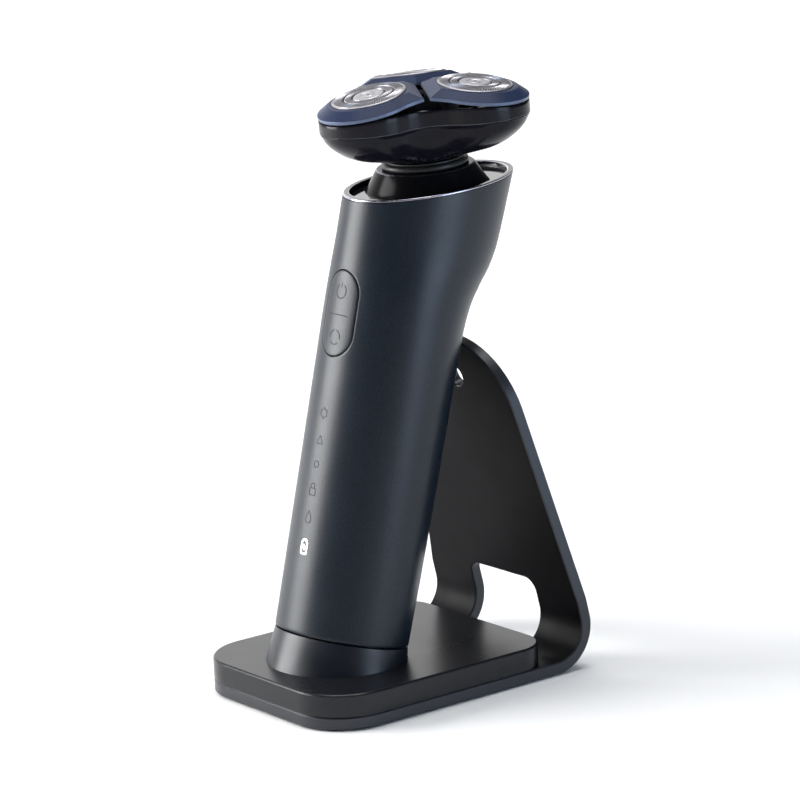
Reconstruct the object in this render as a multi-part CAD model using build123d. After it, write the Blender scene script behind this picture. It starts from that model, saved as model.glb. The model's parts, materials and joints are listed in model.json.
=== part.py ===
from build123d import *

import os
from math import acos, atan2, cos, degrees, hypot, pi, radians, sin, tan

# Electric shaver with three rotary cutters, leaning on its charging stand. Millimetres, +Z up.
# The origin is under the centre of the base block, on the surface that the stand rests on.
# The front is -Y, and apart from gear teeth both halves mirror each other across X = 0.

# Stand: a bent metal sheet, the base block on it and the wedge that the handle stands on
BASE_WIDTH = 69.2
BASE_LENGTH = 81.2
FRONT_CORNER = 16.5
REAR_CORNER = 11.0
FOOT_PROUD = 0.4
FOOT_THICKNESS = 1.0
SHEET = 3.6
BLOCK_HEIGHT = 6.8
BLOCK_WALL = 2.4
BLOCK_ROOF = 2.0
BEND_START = 42.4
BEND_RADIUS = 11.3
PLATE_LEAN = 12.9
PLATE_LENGTH = 85.0
PLATE_TAPER_START = 5.2
PLATE_TOP_RADIUS = 25.0
PLATE_HOLE_RADIUS = 3.1
PLATE_HOLE_UP = 72.6
WINDOW_WIDTH = 30.2
WINDOW_TOP = 8.5
WINDOW_CORNER = 4.0
PORT_WIDTH = 9.2
PORT_HEIGHT = 3.4
PORT_UP = 2.6
SCREW_RADIUS = 0.9
SCREW_HEAD_RADIUS = 1.5
SCREW_LENGTH = 3.6
PAD_INSET = 5.0

# Handle: its axis leans back, and z runs up that axis from the bottom end
HANDLE_LEAN = 14.24
HANDLE_Y = -10.4
HANDLE_Z = 17.15
HALF_WIDTH = 20.8
FRONT_BOTTOM = -19.2
FRONT_SLOPE = -0.0047
REAR_PROFILE = [(0, 18.7), (40, 20.2), (78, 21.1), (92, 21.5), (100, 22.7), (107, 25.4),
                (113, 28.2), (119, 29.8), (130, 30.9), (152, 32.6)]
CORE_STEPS = 12
SLEEVE_WALL = 1.6
DOCK_GAP = 0.4
PLINTH_FLARE = 0.13
SPIGOT_HEIGHT = 1.6
SPIGOT_INSET = 2.2
PIN_RADIUS = 0.9
PIN_FLANGE_RADIUS = 1.5
PIN_SPACING = 8.0
PAD_RADIUS = 2.2
CAP_RECESS = 2.2
BUTTON_WIDTH = 14.3
BUTTON_LENGTH = 25.4
BUTTON_Z = 93.1
BUTTON_GAP = 0.25
STATUS_Z = [64.1, 56.2, 49.2, 41.6, 33.7, 25.0]
CHASSIS_WIDTH = 26.0
CHASSIS_Y = -8.6
BOARD_Y = -10.1
BOARD_THICKNESS = 1.2
CELL_RADIUS = 7.1
CELL_LOW = 10.4
CELL_HIGH = 60.0
SWITCH_OFFSET = 6.5

# Neck: its axis leans forward from the handle's, and z runs up from the rim's centre
NECK_LEAN = 18.2
RIM_Y = 5.3
RIM_Z = 134.4
TRIM_HEIGHT = 0.8
RECESS_DEPTH = 1.6
RECESS_FLOOR = 1.6
PEDESTAL_TOP = 4.7
PEDESTAL_RADIUS = 14.3
PEDESTAL_FOOT = 18.1
PEDESTAL_WALL = 1.8
COLLAR_RADIUS = 12.75
MOTOR_RADIUS = 8.5
MOTOR_TOP = -8.0
MOTOR_LENGTH = 23.0
SHAFT_RADIUS = 1.0
POST_RADIUS = 7.1
POST_BORE = 4.6
HINGE_PIN_RADIUS = 0.6

# Head: z runs up from the line where the bowl meets the cutter frame
HEAD_UP = 19.0
LOBE_DISTANCE = 18.7
LOBE_RADIUS = 14.3
VALLEY_RADIUS = 18.3
BOWL_WALL = 1.5
BOWL_BOTTOM = -11.0
BOWL_FOOT = 13.0
BOWL_FLOOR = -5.9
BOWL_SECTIONS = [(0.0, 0.0, 18.3), (-3.0, 0.85, 17.6), (-6.0, 2.45, 16.5), (-8.7, 4.9, 14.9)]
TILT_PIVOT = -7.6
FRAME_TOP = 4.7
FOIL_DISTANCE = 17.34
FOIL_RADIUS = 10.9
PETAL_UP = 6.3
PETAL_TILT = 8.85
PETAL_LIP = 1.0
PETAL_TOP = 3.0
PETAL_CHAMFER = 3.3
PETAL_GAP = 1.5
PETAL_CLEARANCE = 0.4
PETAL_OVERHANG = 0.21

# Gears of the head
MODULE = 0.6
SUN_TEETH = 20
PLANET_TEETH = 31
GEAR_LOW = -4.5
GEAR_HIGH = -2.7
BACKLASH = 0.14
PLANET_DISTANCE = MODULE * (SUN_TEETH + PLANET_TEETH) / 2

BLOCK_LOW = FOOT_PROUD + SHEET
BLOCK_TOP = BLOCK_LOW + BLOCK_HEIGHT
LOBE_ANGLES = [-90, 30, 150]

HANDLE = Location((0, HANDLE_Y, HANDLE_Z), (-HANDLE_LEAN, 0, 0))
RIM = Location((0, RIM_Y, RIM_Z), (NECK_LEAN, 0, 0))
NECK = HANDLE * RIM
HEAD = NECK * Location((0, 0, HEAD_UP))


def tube(outer, inner, low, high):
    """A round tube about Z between two heights."""
    ring = Circle(outer) - Circle(inner)
    return extrude(Pos(0, 0, low) * ring, high - low)


def rod(radius, low, high):
    """A round rod about Z between two heights."""
    return extrude(Pos(0, 0, low) * Circle(radius), high - low)


def plate(sketch, low, high):
    """A flat sketch made solid between two heights."""
    return extrude(Pos(0, 0, low) * sketch, high - low)


def on_lobe(angle, distance=0.0):
    """The place at one lobe of the head, with X pointing outward."""
    return Rot(0, 0, angle) * Pos(distance, 0, 0)


def petal_place(angle):
    """The frame of one petal: the middle of its lower face, tilted outward."""
    return on_lobe(angle) * Location((FOIL_DISTANCE, 0, PETAL_UP), (0, PETAL_TILT, 0))


# ---------------------------------------------------------------- stand

def base_outline(inset=0.0):
    """Plan of the base: wide front corners and smaller rear ones."""
    plan = Rectangle(BASE_WIDTH - 2 * inset, BASE_LENGTH - 2 * inset)
    plan = fillet(plan.vertices().group_by(Axis.Y)[0], FRONT_CORNER - inset)
    return fillet(plan.vertices().group_by(Axis.Y)[-1], REAR_CORNER - inset)


def bend_point(radius, turn):
    """A point of the bend in the side view, after turning that many degrees."""
    centre = (BEND_START, FOOT_PROUD + SHEET / 2 + BEND_RADIUS)
    return (centre[0] + radius * sin(radians(turn)), centre[1] - radius * cos(radians(turn)))


def upright_place():
    """The frame of the back plate: its middle plane, with Y up the plate from the bend's end."""
    y, z = bend_point(BEND_RADIUS, 90 + PLATE_LEAN)
    return Location((0, y, z), (90 + PLATE_LEAN, 0, 0))


def foot_strip():
    """The flat foot of the sheet with its bend, as wide as the base."""
    turn = 90 + PLATE_LEAN
    inner = BEND_RADIUS - SHEET / 2
    outer = BEND_RADIUS + SHEET / 2
    front = -BASE_LENGTH / 2
    under = Line((front, FOOT_PROUD), (BEND_START, FOOT_PROUD))
    outside = ThreePointArc(bend_point(outer, 0), bend_point(outer, turn / 2), bend_point(outer, turn))
    end = Line(bend_point(outer, turn), bend_point(inner, turn))
    inside = ThreePointArc(bend_point(inner, turn), bend_point(inner, turn / 2), bend_point(inner, 0))
    over = Line((BEND_START, BLOCK_LOW), (front, BLOCK_LOW))
    nose = Line((front, BLOCK_LOW), (front, FOOT_PROUD))
    side = make_face([under, outside, end, inside, over, nose])
    strip = extrude(Plane.YZ * side, BASE_WIDTH / 2, both=True)
    corner_zone = Pos(0, -BASE_LENGTH / 2 + FRONT_CORNER / 2, 2) * Box(90, FRONT_CORNER, 12)
    return strip - (corner_zone - plate(base_outline(), -6, 12))


def back_plate():
    """The leaning plate: straight sides that taper to a round top."""
    foot = Pos(0, PLATE_TAPER_START / 2) * Rectangle(BASE_WIDTH, PLATE_TAPER_START)
    crown = Pos(0, PLATE_LENGTH - PLATE_TOP_RADIUS) * Circle(PLATE_TOP_RADIUS)
    outline = make_hull(foot.edges() + crown.edges())
    hole = Pos(0, PLATE_HOLE_UP) * Circle(PLATE_HOLE_RADIUS)
    return upright_place() * extrude(outline - hole, SHEET / 2, both=True)


def window_cutter():
    """The cable window: open all through the bend, with rounded corners above and below."""
    low_edge = BASE_LENGTH / 2 + 1.0
    low = Pos(0, low_edge + 15) * RectangleRounded(WINDOW_WIDTH, 30, WINDOW_CORNER)
    low_cut = plate(low, -1, bend_point(BEND_RADIUS, 90)[1])
    high = Pos(0, WINDOW_TOP - 10) * RectangleRounded(WINDOW_WIDTH, 20, WINDOW_CORNER)
    high_cut = upright_place() * extrude(high, 5, both=True)
    return low_cut + high_cut


def support_plate():
    sheet = foot_strip() + back_plate()
    sheet = sheet - window_cutter()
    recess = plate(base_outline(PAD_INSET - 0.1), 0, FOOT_THICKNESS)
    screws = [Pos(x, y, 0) * rod(SCREW_HEAD_RADIUS + 0.1, 0, BLOCK_LOW) for x, y in screw_places()]
    return sheet - recess - screws


def screw_places():
    """Four screws that hold the block on the sheet."""
    return [(x, y) for x in (-24, 24) for y in (-26, 30)]


def foot_pad():
    return plate(base_outline(PAD_INSET), 0, FOOT_THICKNESS)


def base_screws():
    head = rod(SCREW_HEAD_RADIUS, FOOT_THICKNESS, BLOCK_LOW)
    screw = head + rod(SCREW_RADIUS, BLOCK_LOW, BLOCK_LOW + SCREW_LENGTH)
    return Compound([Pos(x, y, 0) * screw for x, y in screw_places()])


def base_block():
    """The block: an open-bottomed shell with screw posts, a pin well and the cable port."""
    block = plate(base_outline(), BLOCK_LOW, BLOCK_TOP)
    block = chamfer(block.faces().sort_by(Axis.Z)[-1].edges(), 0.5)
    block = chamfer(block.faces().sort_by(Axis.Z)[0].edges(), 0.3)
    cavity = plate(base_outline(BLOCK_WALL), BLOCK_LOW, BLOCK_TOP - BLOCK_ROOF)
    posts = [Pos(x, y, 0) * rod(3.0, BLOCK_LOW, BLOCK_TOP - BLOCK_ROOF) for x, y in screw_places()]
    pilot = rod(SCREW_RADIUS, BLOCK_LOW, BLOCK_LOW + SCREW_LENGTH)
    pilots = [Pos(x, y, 0) * pilot for x, y in screw_places()]
    port = Pos(0, BASE_LENGTH / 2, BLOCK_LOW + PORT_UP) * Box(PORT_WIDTH, 12, PORT_HEIGHT)
    return block - (cavity - posts) - pilots - port


def ballast_plate():
    return Pos(0, -6, 0) * plate(Rectangle(40, 36), BLOCK_LOW + 0.1, BLOCK_LOW + 3.4)


def dock_board():
    board = Rectangle(26, 14)
    return Pos(0, 26.5, 0) * plate(board, BLOCK_LOW + 0.1, BLOCK_LOW + 0.9)


def usb_inlet():
    """The inlet's metal shell with the tongue that the plug slides over."""
    shell = RectangleRounded(8.9, 3.1, 1.5) - RectangleRounded(8.3, 2.5, 1.2)
    body = extrude(shell, 6.6) + extrude(RectangleRounded(8.9, 3.1, 1.5), 0.8)
    tongue = Pos(0, 0, 3) * Box(6.4, 0.7, 5)
    facing_rear = Location((0, BASE_LENGTH / 2 - 7.0, BLOCK_LOW + PORT_UP), (-90, 0, 0))
    return facing_rear * (body + tongue)


def section(z, grow=0.0):
    """The handle's elliptical section at one height up its axis."""
    front = FRONT_BOTTOM + FRONT_SLOPE * z - grow
    rear = rear_at(z) + grow
    return Pos(0, (front + rear) / 2, z) * Ellipse(HALF_WIDTH + grow, (rear - front) / 2)


def rear_at(z):
    """The rear line of the handle, between the heights that REAR_PROFILE names."""
    for (z0, y0), (z1, y1) in zip(REAR_PROFILE, REAR_PROFILE[1:]):
        if z <= z1:
            return y0 + (y1 - y0) * (z - z0) / (z1 - z0)
    return REAR_PROFILE[-1][1]


def pin_places():
    return [Pos(-PIN_SPACING / 2, 0, 0), Pos(PIN_SPACING / 2, 0, 0)]


def dock_plinth():
    """The wedge under the handle, in the handle's frame: flared body, spigot and pin bores."""
    depth = 22.0
    top = Pos(0, 0, -DOCK_GAP) * section(0, -0.15)
    foot = Pos(0, 0, -depth) * section(0, -0.15 + PLINTH_FLARE * depth)
    wedge = loft([foot, top], ruled=True)
    wedge = wedge + plate(section(0, -SPIGOT_INSET), -DOCK_GAP, SPIGOT_HEIGHT)
    bore = rod(PIN_RADIUS + 0.1, -depth, 3) + rod(PIN_FLANGE_RADIUS + 0.3, -depth, -2.3)
    bores = [place * bore for place in pin_places()]
    wedge = HANDLE * (wedge - bores)
    under = Pos(0, 0, BLOCK_TOP - 50) * Box(150, 150, 100)
    return wedge - under


def charge_pins():
    """Two sprung pins with round tips and a stop flange."""
    pin = rod(PIN_RADIUS, -3.0, 2.0) + rod(PIN_FLANGE_RADIUS, -3.0, -2.4)
    pin = fillet(pin.faces().sort_by(Axis.Z)[-1].edges(), 0.7)
    return Compound([HANDLE * place * pin for place in pin_places()])


def pin_springs():
    """The springs under the pins, drawn as short sleeves."""
    return Compound([HANDLE * place * tube(1.3, 0.9, -6.1, -3.0) for place in pin_places()])


# ---------------------------------------------------------------- handle, in its own frame

def handle_core(grow=0.0):
    """The swelling body of the handle, longer than the sleeve at its top."""
    step = REAR_PROFILE[-1][0] / CORE_STEPS
    return loft([section(step * number, grow) for number in range(CORE_STEPS + 1)])


def above_rim(offset=0.0):
    """Everything over the rim's slanted plane."""
    return RIM * Pos(0, 0, offset + 50) * Box(140, 140, 100)


def button_prism(shrink=0.0):
    """The pill shape of the button, run through the front wall."""
    pill = SlotOverall(BUTTON_LENGTH - 2 * shrink, BUTTON_WIDTH - 2 * shrink, rotation=90)
    return Pos(0, 0, BUTTON_Z) * Rot(90, 0, 0) * plate(pill, 10, 30)


def handle_sleeve():
    sleeve = handle_core() - handle_core(-SLEEVE_WALL)
    return sleeve - above_rim(-TRIM_HEIGHT) - button_prism()


def rim_trim():
    ring = handle_core(-0.05) - handle_core(-SLEEVE_WALL - 0.3)
    band = RIM * Pos(0, 0, -TRIM_HEIGHT / 2) * Box(120, 120, TRIM_HEIGHT)
    return ring & band


def neck_pedestal():
    """The recess floor inside the rim, with the flared cone that carries the neck."""
    floor = plate(Rectangle(120, 120), -RECESS_DEPTH - RECESS_FLOOR, -RECESS_DEPTH)
    floor = handle_core(-SLEEVE_WALL - 0.1) & (RIM * floor)
    floor = floor - RIM * rod(PEDESTAL_FOOT - PEDESTAL_WALL, -6, 0)
    half = Polyline((9.0, PEDESTAL_TOP), (PEDESTAL_RADIUS, PEDESTAL_TOP), (PEDESTAL_FOOT, -RECESS_DEPTH - 0.2),
                    (PEDESTAL_FOOT - PEDESTAL_WALL, -RECESS_DEPTH - 0.2),
                    (PEDESTAL_RADIUS - PEDESTAL_WALL, PEDESTAL_TOP - PEDESTAL_WALL),
                    (9.0, PEDESTAL_TOP - PEDESTAL_WALL), close=True)
    return floor + RIM * revolve(Plane.XZ * make_face(half), Axis.Z)


def button_key():
    """The rocker: a shell as curved as the sleeve, with two plungers behind it."""
    skin = (handle_core(-0.05) - handle_core(-SLEEVE_WALL)) & button_prism(BUTTON_GAP)
    web = Pos(0, -17.4, BUTTON_Z) * Box(9, 1.9, 19)
    plungers = [Pos(0, -15.7, BUTTON_Z + dz) * Box(3, 2.6, 3) for dz in (-SWITCH_OFFSET, SWITCH_OFFSET)]
    return skin + web + plungers


def bottom_cap():
    """Closes the sleeve just above the dock's spigot."""
    disc = plate(section(0, -SLEEVE_WALL - 0.35), CAP_RECESS, CAP_RECESS + 3)
    groove = plate(section(0, 3) - section(0, -SLEEVE_WALL - 1.3), CAP_RECESS + 1, CAP_RECESS + 2)
    seats = [place * rod(PAD_RADIUS, CAP_RECESS, CAP_RECESS + 0.8) for place in pin_places()]
    return disc - groove - seats


def bottom_seal():
    ring = section(0, -SLEEVE_WALL - 0.1) - section(0, -SLEEVE_WALL - 1.3)
    return plate(ring, CAP_RECESS + 1, CAP_RECESS + 2)


def contact_pads():
    pad = rod(PAD_RADIUS, CAP_RECESS, CAP_RECESS + 0.8)
    return Compound([place * pad for place in pin_places()])


def chassis_back():
    return Pos(0, CHASSIS_Y, 62.5) * Box(CHASSIS_WIDTH, 1.6, 109)


def chassis():
    """The tray that carries the cell behind and the board in front."""
    back = chassis_back()
    sides = [Pos(x, -1.5, 40) * Box(1.4, 14.2, 62) for x in (-9.6, 9.6)]
    floor = Pos(0, -1.5, 8.2) * Box(20.6, 14.2, 1.6)
    holes = [Pos(x, CHASSIS_Y, z) * Rot(90, 0, 0) * rod(0.8, -3, 3) for x, z in board_screw_places()]
    return back + sides + floor - holes


def battery_cell():
    return rod(CELL_RADIUS, CELL_LOW, CELL_HIGH) + rod(2.6, CELL_HIGH, CELL_HIGH + 1.0)


def battery_tabs():
    low = Pos(0, 0, CELL_LOW - 0.7) * Box(9, 6, 0.5)
    high = Pos(0, 0, CELL_HIGH + 1.3) * Box(9, 6, 0.5)
    return Compound([low, high])


def board_screw_places():
    return [(x, z) for x in (-11, 11) for z in (14, 98)]


def main_board():
    board = Pos(0, BOARD_Y, 56) * Box(25, BOARD_THICKNESS, 92)
    holes = [Pos(x, -10, z) * Rot(90, 0, 0) * rod(0.8, -3, 3) for x, z in board_screw_places()]
    return board - holes


def board_screws():
    screw = rod(0.75, -2.4, 0.7) + rod(1.6, 0.7, 1.6)
    return Compound([Pos(x, -10, z) * Rot(90, 0, 0) * screw for x, z in board_screw_places()])


def tact_switches():
    """Two switches under the two halves of the rocker."""
    body = Rot(90, 0, 0) * (plate(Rectangle(5, 5), 10.7, 12.4) + rod(1.2, 12.4, 14.2))
    return Compound([Pos(0, 0, BUTTON_Z + dz) * body for dz in (-SWITCH_OFFSET, SWITCH_OFFSET)])


def status_leds():
    lamp = Box(1.6, 0.9, 2.0)
    return Compound([Pos(0, -11.15, z) * lamp for z in STATUS_Z])


def light_guide():
    """A clear bar that carries each lamp's light to its mark in the sleeve."""
    bar = Pos(0, -16.0, (STATUS_Z[0] + STATUS_Z[-1]) / 2) * Box(5, 1.6, 46)
    legs = [Pos(0, -13.45, z) * Box(2.6, 3.5, 3) for z in STATUS_Z]
    return bar + legs


def motor_holder():
    """A ring that clamps the motor, with an arm down to the chassis."""
    ring = tube(MOTOR_RADIUS + 1.4, MOTOR_RADIUS, -20, -16)
    arm = Pos(0, -2.9, 114) * Box(10, 9.8, 4)
    return (RIM * ring + arm) - RIM * rod(MOTOR_RADIUS, -40, 0) - chassis_back()


def motor_can():
    """The steel can, open inside for the armature, with a hole at each end for a bush."""
    low = MOTOR_TOP - MOTOR_LENGTH
    can = rod(MOTOR_RADIUS, low, MOTOR_TOP) - rod(MOTOR_RADIUS - 0.8, low + 1, MOTOR_TOP - 1)
    return can - rod(2.0, low - 1, MOTOR_TOP + 1)


def motor_bushes():
    low = MOTOR_TOP - MOTOR_LENGTH
    bush = tube(2.0, 1.04, 0, 1.8)
    return Compound([Pos(0, 0, low - 0.8) * bush, Pos(0, 0, MOTOR_TOP - 1) * bush])


def motor_magnets():
    """Two curved magnets against the can's wall."""
    low = MOTOR_TOP - MOTOR_LENGTH
    ring = tube(MOTOR_RADIUS - 0.85, MOTOR_RADIUS - 2.4, low + 4, MOTOR_TOP - 4)
    gaps = Box(40, 5, 80)
    return ring - gaps


def armature():
    """The wound core: three poles round the shaft."""
    low = MOTOR_TOP - MOTOR_LENGTH
    hub = tube(2.4, SHAFT_RADIUS, low + 4, MOTOR_TOP - 4)
    for turn in (0, 120, 240):
        hub += Rot(0, 0, turn) * Pos(3.6, 0, low + 12) * Box(4, 2.6, 15)
    return hub


def commutator():
    low = MOTOR_TOP - MOTOR_LENGTH
    return tube(2.2, SHAFT_RADIUS, low + 1.6, low + 3.6)


def drive_shaft():
    return rod(SHAFT_RADIUS, MOTOR_TOP - MOTOR_LENGTH - 1.4, HEAD_UP - 8.4)


def drive_coupler():
    """A rounded hexagon on the shaft's end, which turns the sun gear at any head tilt."""
    hexagon = RegularPolygon(2.2, 6)
    body = plate(hexagon, HEAD_UP - 8.4, HEAD_UP - 5.6)
    return fillet(body.edges().filter_by(Axis.Z), 0.4)


# ---------------------------------------------------------------- neck, in the neck's frame

def neck_collar():
    """The lower ring of the neck, which plugs into the pedestal."""
    ring = tube(COLLAR_RADIUS, 7.2, PEDESTAL_TOP + 0.1, PEDESTAL_TOP + 1.8)
    ring = fillet(ring.edges().group_by(Axis.Z)[-1].sort_by(SortBy.RADIUS)[-1], 0.8)
    ring = fillet(ring.edges().group_by(Axis.Z)[0].sort_by(SortBy.RADIUS)[-1], 0.4)
    plug = tube(8.7, 7.2, 1.2, PEDESTAL_TOP + 0.1)
    return ring + plug


def neck_bellows():
    """The softer upper ring that hides the swivel."""
    ring = tube(COLLAR_RADIUS - 1.2, 7.2, PEDESTAL_TOP + 1.8, PEDESTAL_TOP + 2.5)
    return fillet(ring.edges().group_by(Axis.Z)[-1].sort_by(SortBy.RADIUS)[-1], 0.4)


def swivel_post():
    """The hollow post that the head floats on, with a bore on X for its pins."""
    post = tube(POST_RADIUS, POST_BORE, 1.2, HEAD_UP - 9.9)
    post = post + tube(6.2, POST_BORE, HEAD_UP - 9.9, HEAD_UP - 6.7)
    return post - Pos(0, 0, HEAD_UP + TILT_PIVOT) * Rot(0, 90, 0) * rod(HINGE_PIN_RADIUS, -20, 20)


def tilt_pins_x():
    """Two pins from the post out into the gimbal ring."""
    turn = Pos(0, 0, HEAD_UP + TILT_PIVOT) * Rot(0, 90, 0)
    return Compound([turn * rod(HINGE_PIN_RADIUS, 4.8, 8.9), turn * rod(HINGE_PIN_RADIUS, -8.9, -4.8)])


def gimbal_ring():
    ring = tube(9.2, 7.2, TILT_PIVOT - 0.95, TILT_PIVOT + 0.95)
    loose = Rot(0, 90, 0) * rod(HINGE_PIN_RADIUS + 0.05, -20, 20)
    tight = Rot(90, 0, 0) * rod(HINGE_PIN_RADIUS, -20, 20)
    return ring - Pos(0, 0, TILT_PIVOT) * (loose + tight)


def tilt_pins_y():
    """Two pins from the gimbal ring out into the bowl."""
    turn = Pos(0, 0, TILT_PIVOT) * Rot(90, 0, 0)
    return Compound([turn * rod(HINGE_PIN_RADIUS, 7.4, 10.9), turn * rod(HINGE_PIN_RADIUS, -10.9, -7.4)])


# ---------------------------------------------------------------- head, in the head's frame

def lobed_points(lobe_distance, lobe_radius, valley_radius):
    """Where a lobe's arc meets the arc of the side beside it."""
    side = ((lobe_radius ** 2 - valley_radius ** 2 - lobe_distance ** 2 + valley_radius * lobe_distance)
            / (2 * valley_radius - lobe_distance - 2 * lobe_radius))
    reach = valley_radius + side
    to_side = (reach * cos(pi / 3) - lobe_distance, reach * sin(pi / 3))
    length = hypot(*to_side)
    touch = (lobe_distance + lobe_radius * to_side[0] / length, lobe_radius * to_side[1] / length)
    return touch


def ring_of_arcs(tip_radius, touch, valley_radius):
    """Six arcs round the head: a lobe on each third, a side between two lobes."""
    touch_radius = hypot(*touch)
    touch_angle = degrees(atan2(touch[1], touch[0]))
    arcs = []
    for middle in (0, 120, 240):
        first = polar(touch_radius, middle - touch_angle)
        second = polar(touch_radius, middle + touch_angle)
        third = polar(touch_radius, middle + 120 - touch_angle)
        arcs.append(ThreePointArc(first, polar(tip_radius, middle), second))
        arcs.append(ThreePointArc(second, polar(valley_radius, middle + 60), third))
    return Rot(0, 0, LOBE_ANGLES[0]) * make_face(arcs)


def polar(radius, angle):
    return (radius * cos(radians(angle)), radius * sin(radians(angle)))


def head_outline(inset=0.0, shrink=0.0, valley=None):
    """The three-lobed plan. Inset narrows it all round, shrink draws its lobes inward."""
    distance = LOBE_DISTANCE - shrink
    radius = LOBE_RADIUS - inset - shrink
    low = (VALLEY_RADIUS if valley is None else valley) - inset
    return ring_of_arcs(distance + radius, lobed_points(distance, radius, low), low)


def round_outline(radius):
    """A circle in the same six arcs, so that it lofts cleanly with the lobed plan."""
    touch = lobed_points(LOBE_DISTANCE, LOBE_RADIUS, VALLEY_RADIUS)
    angle = atan2(touch[1], touch[0])
    return ring_of_arcs(radius, (radius * cos(angle), radius * sin(angle)), radius)


def bowl_form(inset):
    """The rounded underside, as a solid that narrows from three lobes to a circle."""
    rings = [Pos(0, 0, z) * head_outline(inset, shrink, valley) for z, shrink, valley in BOWL_SECTIONS]
    rings.append(Pos(0, 0, BOWL_BOTTOM) * round_outline(BOWL_FOOT - inset))
    return loft(rings)


def head_bowl():
    """The lower shell: hollow for the gears, with a ring for the gimbal's pins below."""
    hollow = bowl_form(BOWL_WALL) & plate(Circle(60), BOWL_FLOOR, 5)
    bowl = bowl_form(0) - hollow - rod(9.9, BOWL_BOTTOM - 1, 0)
    bores = Pos(0, 0, TILT_PIVOT) * Rot(90, 0, 0) * rod(HINGE_PIN_RADIUS + 0.05, -11, 11)
    return bowl - bores


def gear_carrier():
    """The deck that the gears turn on, with a hollow centre and three posts."""
    deck = plate(head_outline(4.6, 2.2, 15.6), BOWL_FLOOR, -4.8) - rod(4.0, -7, -4)
    posts = [on_lobe(angle, PLANET_DISTANCE) * rod(1.5, -5, -3.1) for angle in LOBE_ANGLES]
    return deck + posts


def involute(angle):
    return tan(angle) - angle


def gear_plan(teeth, module):
    """A spur gear with involute flanks, one tooth centred on X."""
    pitch = module * teeth / 2
    base = pitch * cos(radians(20))
    root = pitch - 1.25 * module
    tip = pitch + 0.95 * module
    half = pi / (2 * teeth) - BACKLASH / (4 * pitch) + involute(radians(20))
    radii = [max(root, base) + (tip - max(root, base)) * step / 3 for step in range(4)]
    flank = [(r, half - involute(acos(base / r))) for r in radii]
    if root < base:
        flank.insert(0, (root, flank[0][1]))
    points = []
    for tooth in range(teeth):
        middle = 2 * pi * tooth / teeth
        points += [(r * cos(middle - a), r * sin(middle - a)) for r, a in flank]
        points += [(r * cos(middle + a), r * sin(middle + a)) for r, a in reversed(flank)]
    return make_face(Polyline(*points, close=True))


def sun_gear():
    """The middle gear, with a socket below for the drive coupler."""
    gear = plate(gear_plan(SUN_TEETH, MODULE), GEAR_LOW, GEAR_HIGH)
    return gear + rod(3.92, -7.3, GEAR_LOW) - rod(2.9, -8, -5.0)


def planet_turn(angle):
    """How far a planet gear is turned so that its gaps face the sun gear's teeth."""
    sun_pitch = 360 / SUN_TEETH
    ahead = round(angle / sun_pitch) * sun_pitch - angle
    gap = angle + 180 - ahead * SUN_TEETH / PLANET_TEETH
    return gap + 180 / PLANET_TEETH


def planet_gear(angle):
    """One outer gear: teeth below, a bored hub and a socket for its spindle above."""
    gear = plate(gear_plan(PLANET_TEETH, MODULE), GEAR_LOW, GEAR_HIGH)
    gear = gear + rod(3.9, GEAR_HIGH, 0.4)
    gear = gear - rod(1.55, GEAR_LOW - 1, -2.9) - rod(3.1, -2.9, 1)
    return Rot(0, 0, angle) * Pos(PLANET_DISTANCE, 0, 0) * Rot(0, 0, planet_turn(angle) - angle) * gear


def cutter_frame():
    """The band round the head with a deck inside, cut back under each petal."""
    wall = plate(head_outline(0) - head_outline(1.6), 0.15, FRAME_TOP)
    deck = plate(head_outline(1.2), 1.6, 2.8)
    frame = wall + deck
    for angle in LOBE_ANGLES:
        opening = on_lobe(angle, FOIL_DISTANCE - 1.2) * rod(3.9, 0, 5)
        over = Pos(0, 0, -PETAL_CLEARANCE) * plate(petal_sector(-2.0, -0.7), 0, 12)
        under_petal = petal_place(angle) * over
        frame = frame - opening - under_petal
    return frame


def petal_sector(inset, gap=PETAL_GAP / 2):
    """One third of the head's plan, seen from its petal's centre. Gap trims its two straight sides."""
    outline = Pos(-FOIL_DISTANCE, 0) * Rot(0, 0, -LOBE_ANGLES[0]) * head_outline(inset - PETAL_OVERHANG)
    tip = (-FOIL_DISTANCE + gap / sin(pi / 3), 0)
    reach = 90.0
    wedge = Polyline(tip, (tip[0] + reach * cos(pi / 3), reach * sin(pi / 3)),
                     (tip[0] + reach * cos(pi / 3), -reach * sin(pi / 3)), close=True)
    return outline & make_face(wedge)


def petal():
    """One floating cover: an upright lip, then a facet that slopes up to the foil's seat."""
    plan = petal_sector(0.0)
    seat = offset(plan, -PETAL_CHAMFER, kind=Kind.INTERSECTION)
    body = plate(plan, 0, PETAL_LIP)
    slope = loft([Pos(0, 0, PETAL_LIP) * plan, Pos(0, 0, PETAL_TOP) * seat], ruled=True)
    return body + slope - rod(10.1, -1, 5)


def foil_cap():
    """The steel guard: two raised cutting tracks round a plain centre, on a deep skirt."""
    half = Polyline((0, 3.2), (9.6, 3.2), (9.6, 0.3), (10.0, 0.3), (10.0, 3.0), (FOIL_RADIUS, 3.0),
                    (FOIL_RADIUS, 3.25), (10.5, 3.55), (8.3, 3.55), (8.1, 3.35), (7.5, 3.35), (7.3, 3.55),
                    (5.3, 3.55), (5.1, 3.35), (4.4, 3.35), (4.2, 3.55), (0, 3.55), close=True)
    return revolve(Plane.XZ * make_face(half), Axis.Z)


def cutter():
    """The rotating blades: a disc with a ring of small upright blades."""
    disc = tube(9.0, 1.4, 0.9, 1.6) + tube(3.0, 1.4, 0.9, 2.6)
    blades = Pos(7.6, 0, 2.3) * Rot(0, 0, 20) * Box(2.4, 0.7, 1.5)
    for step in range(12):
        disc += Rot(0, 0, 30 * step) * blades
    return disc


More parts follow.
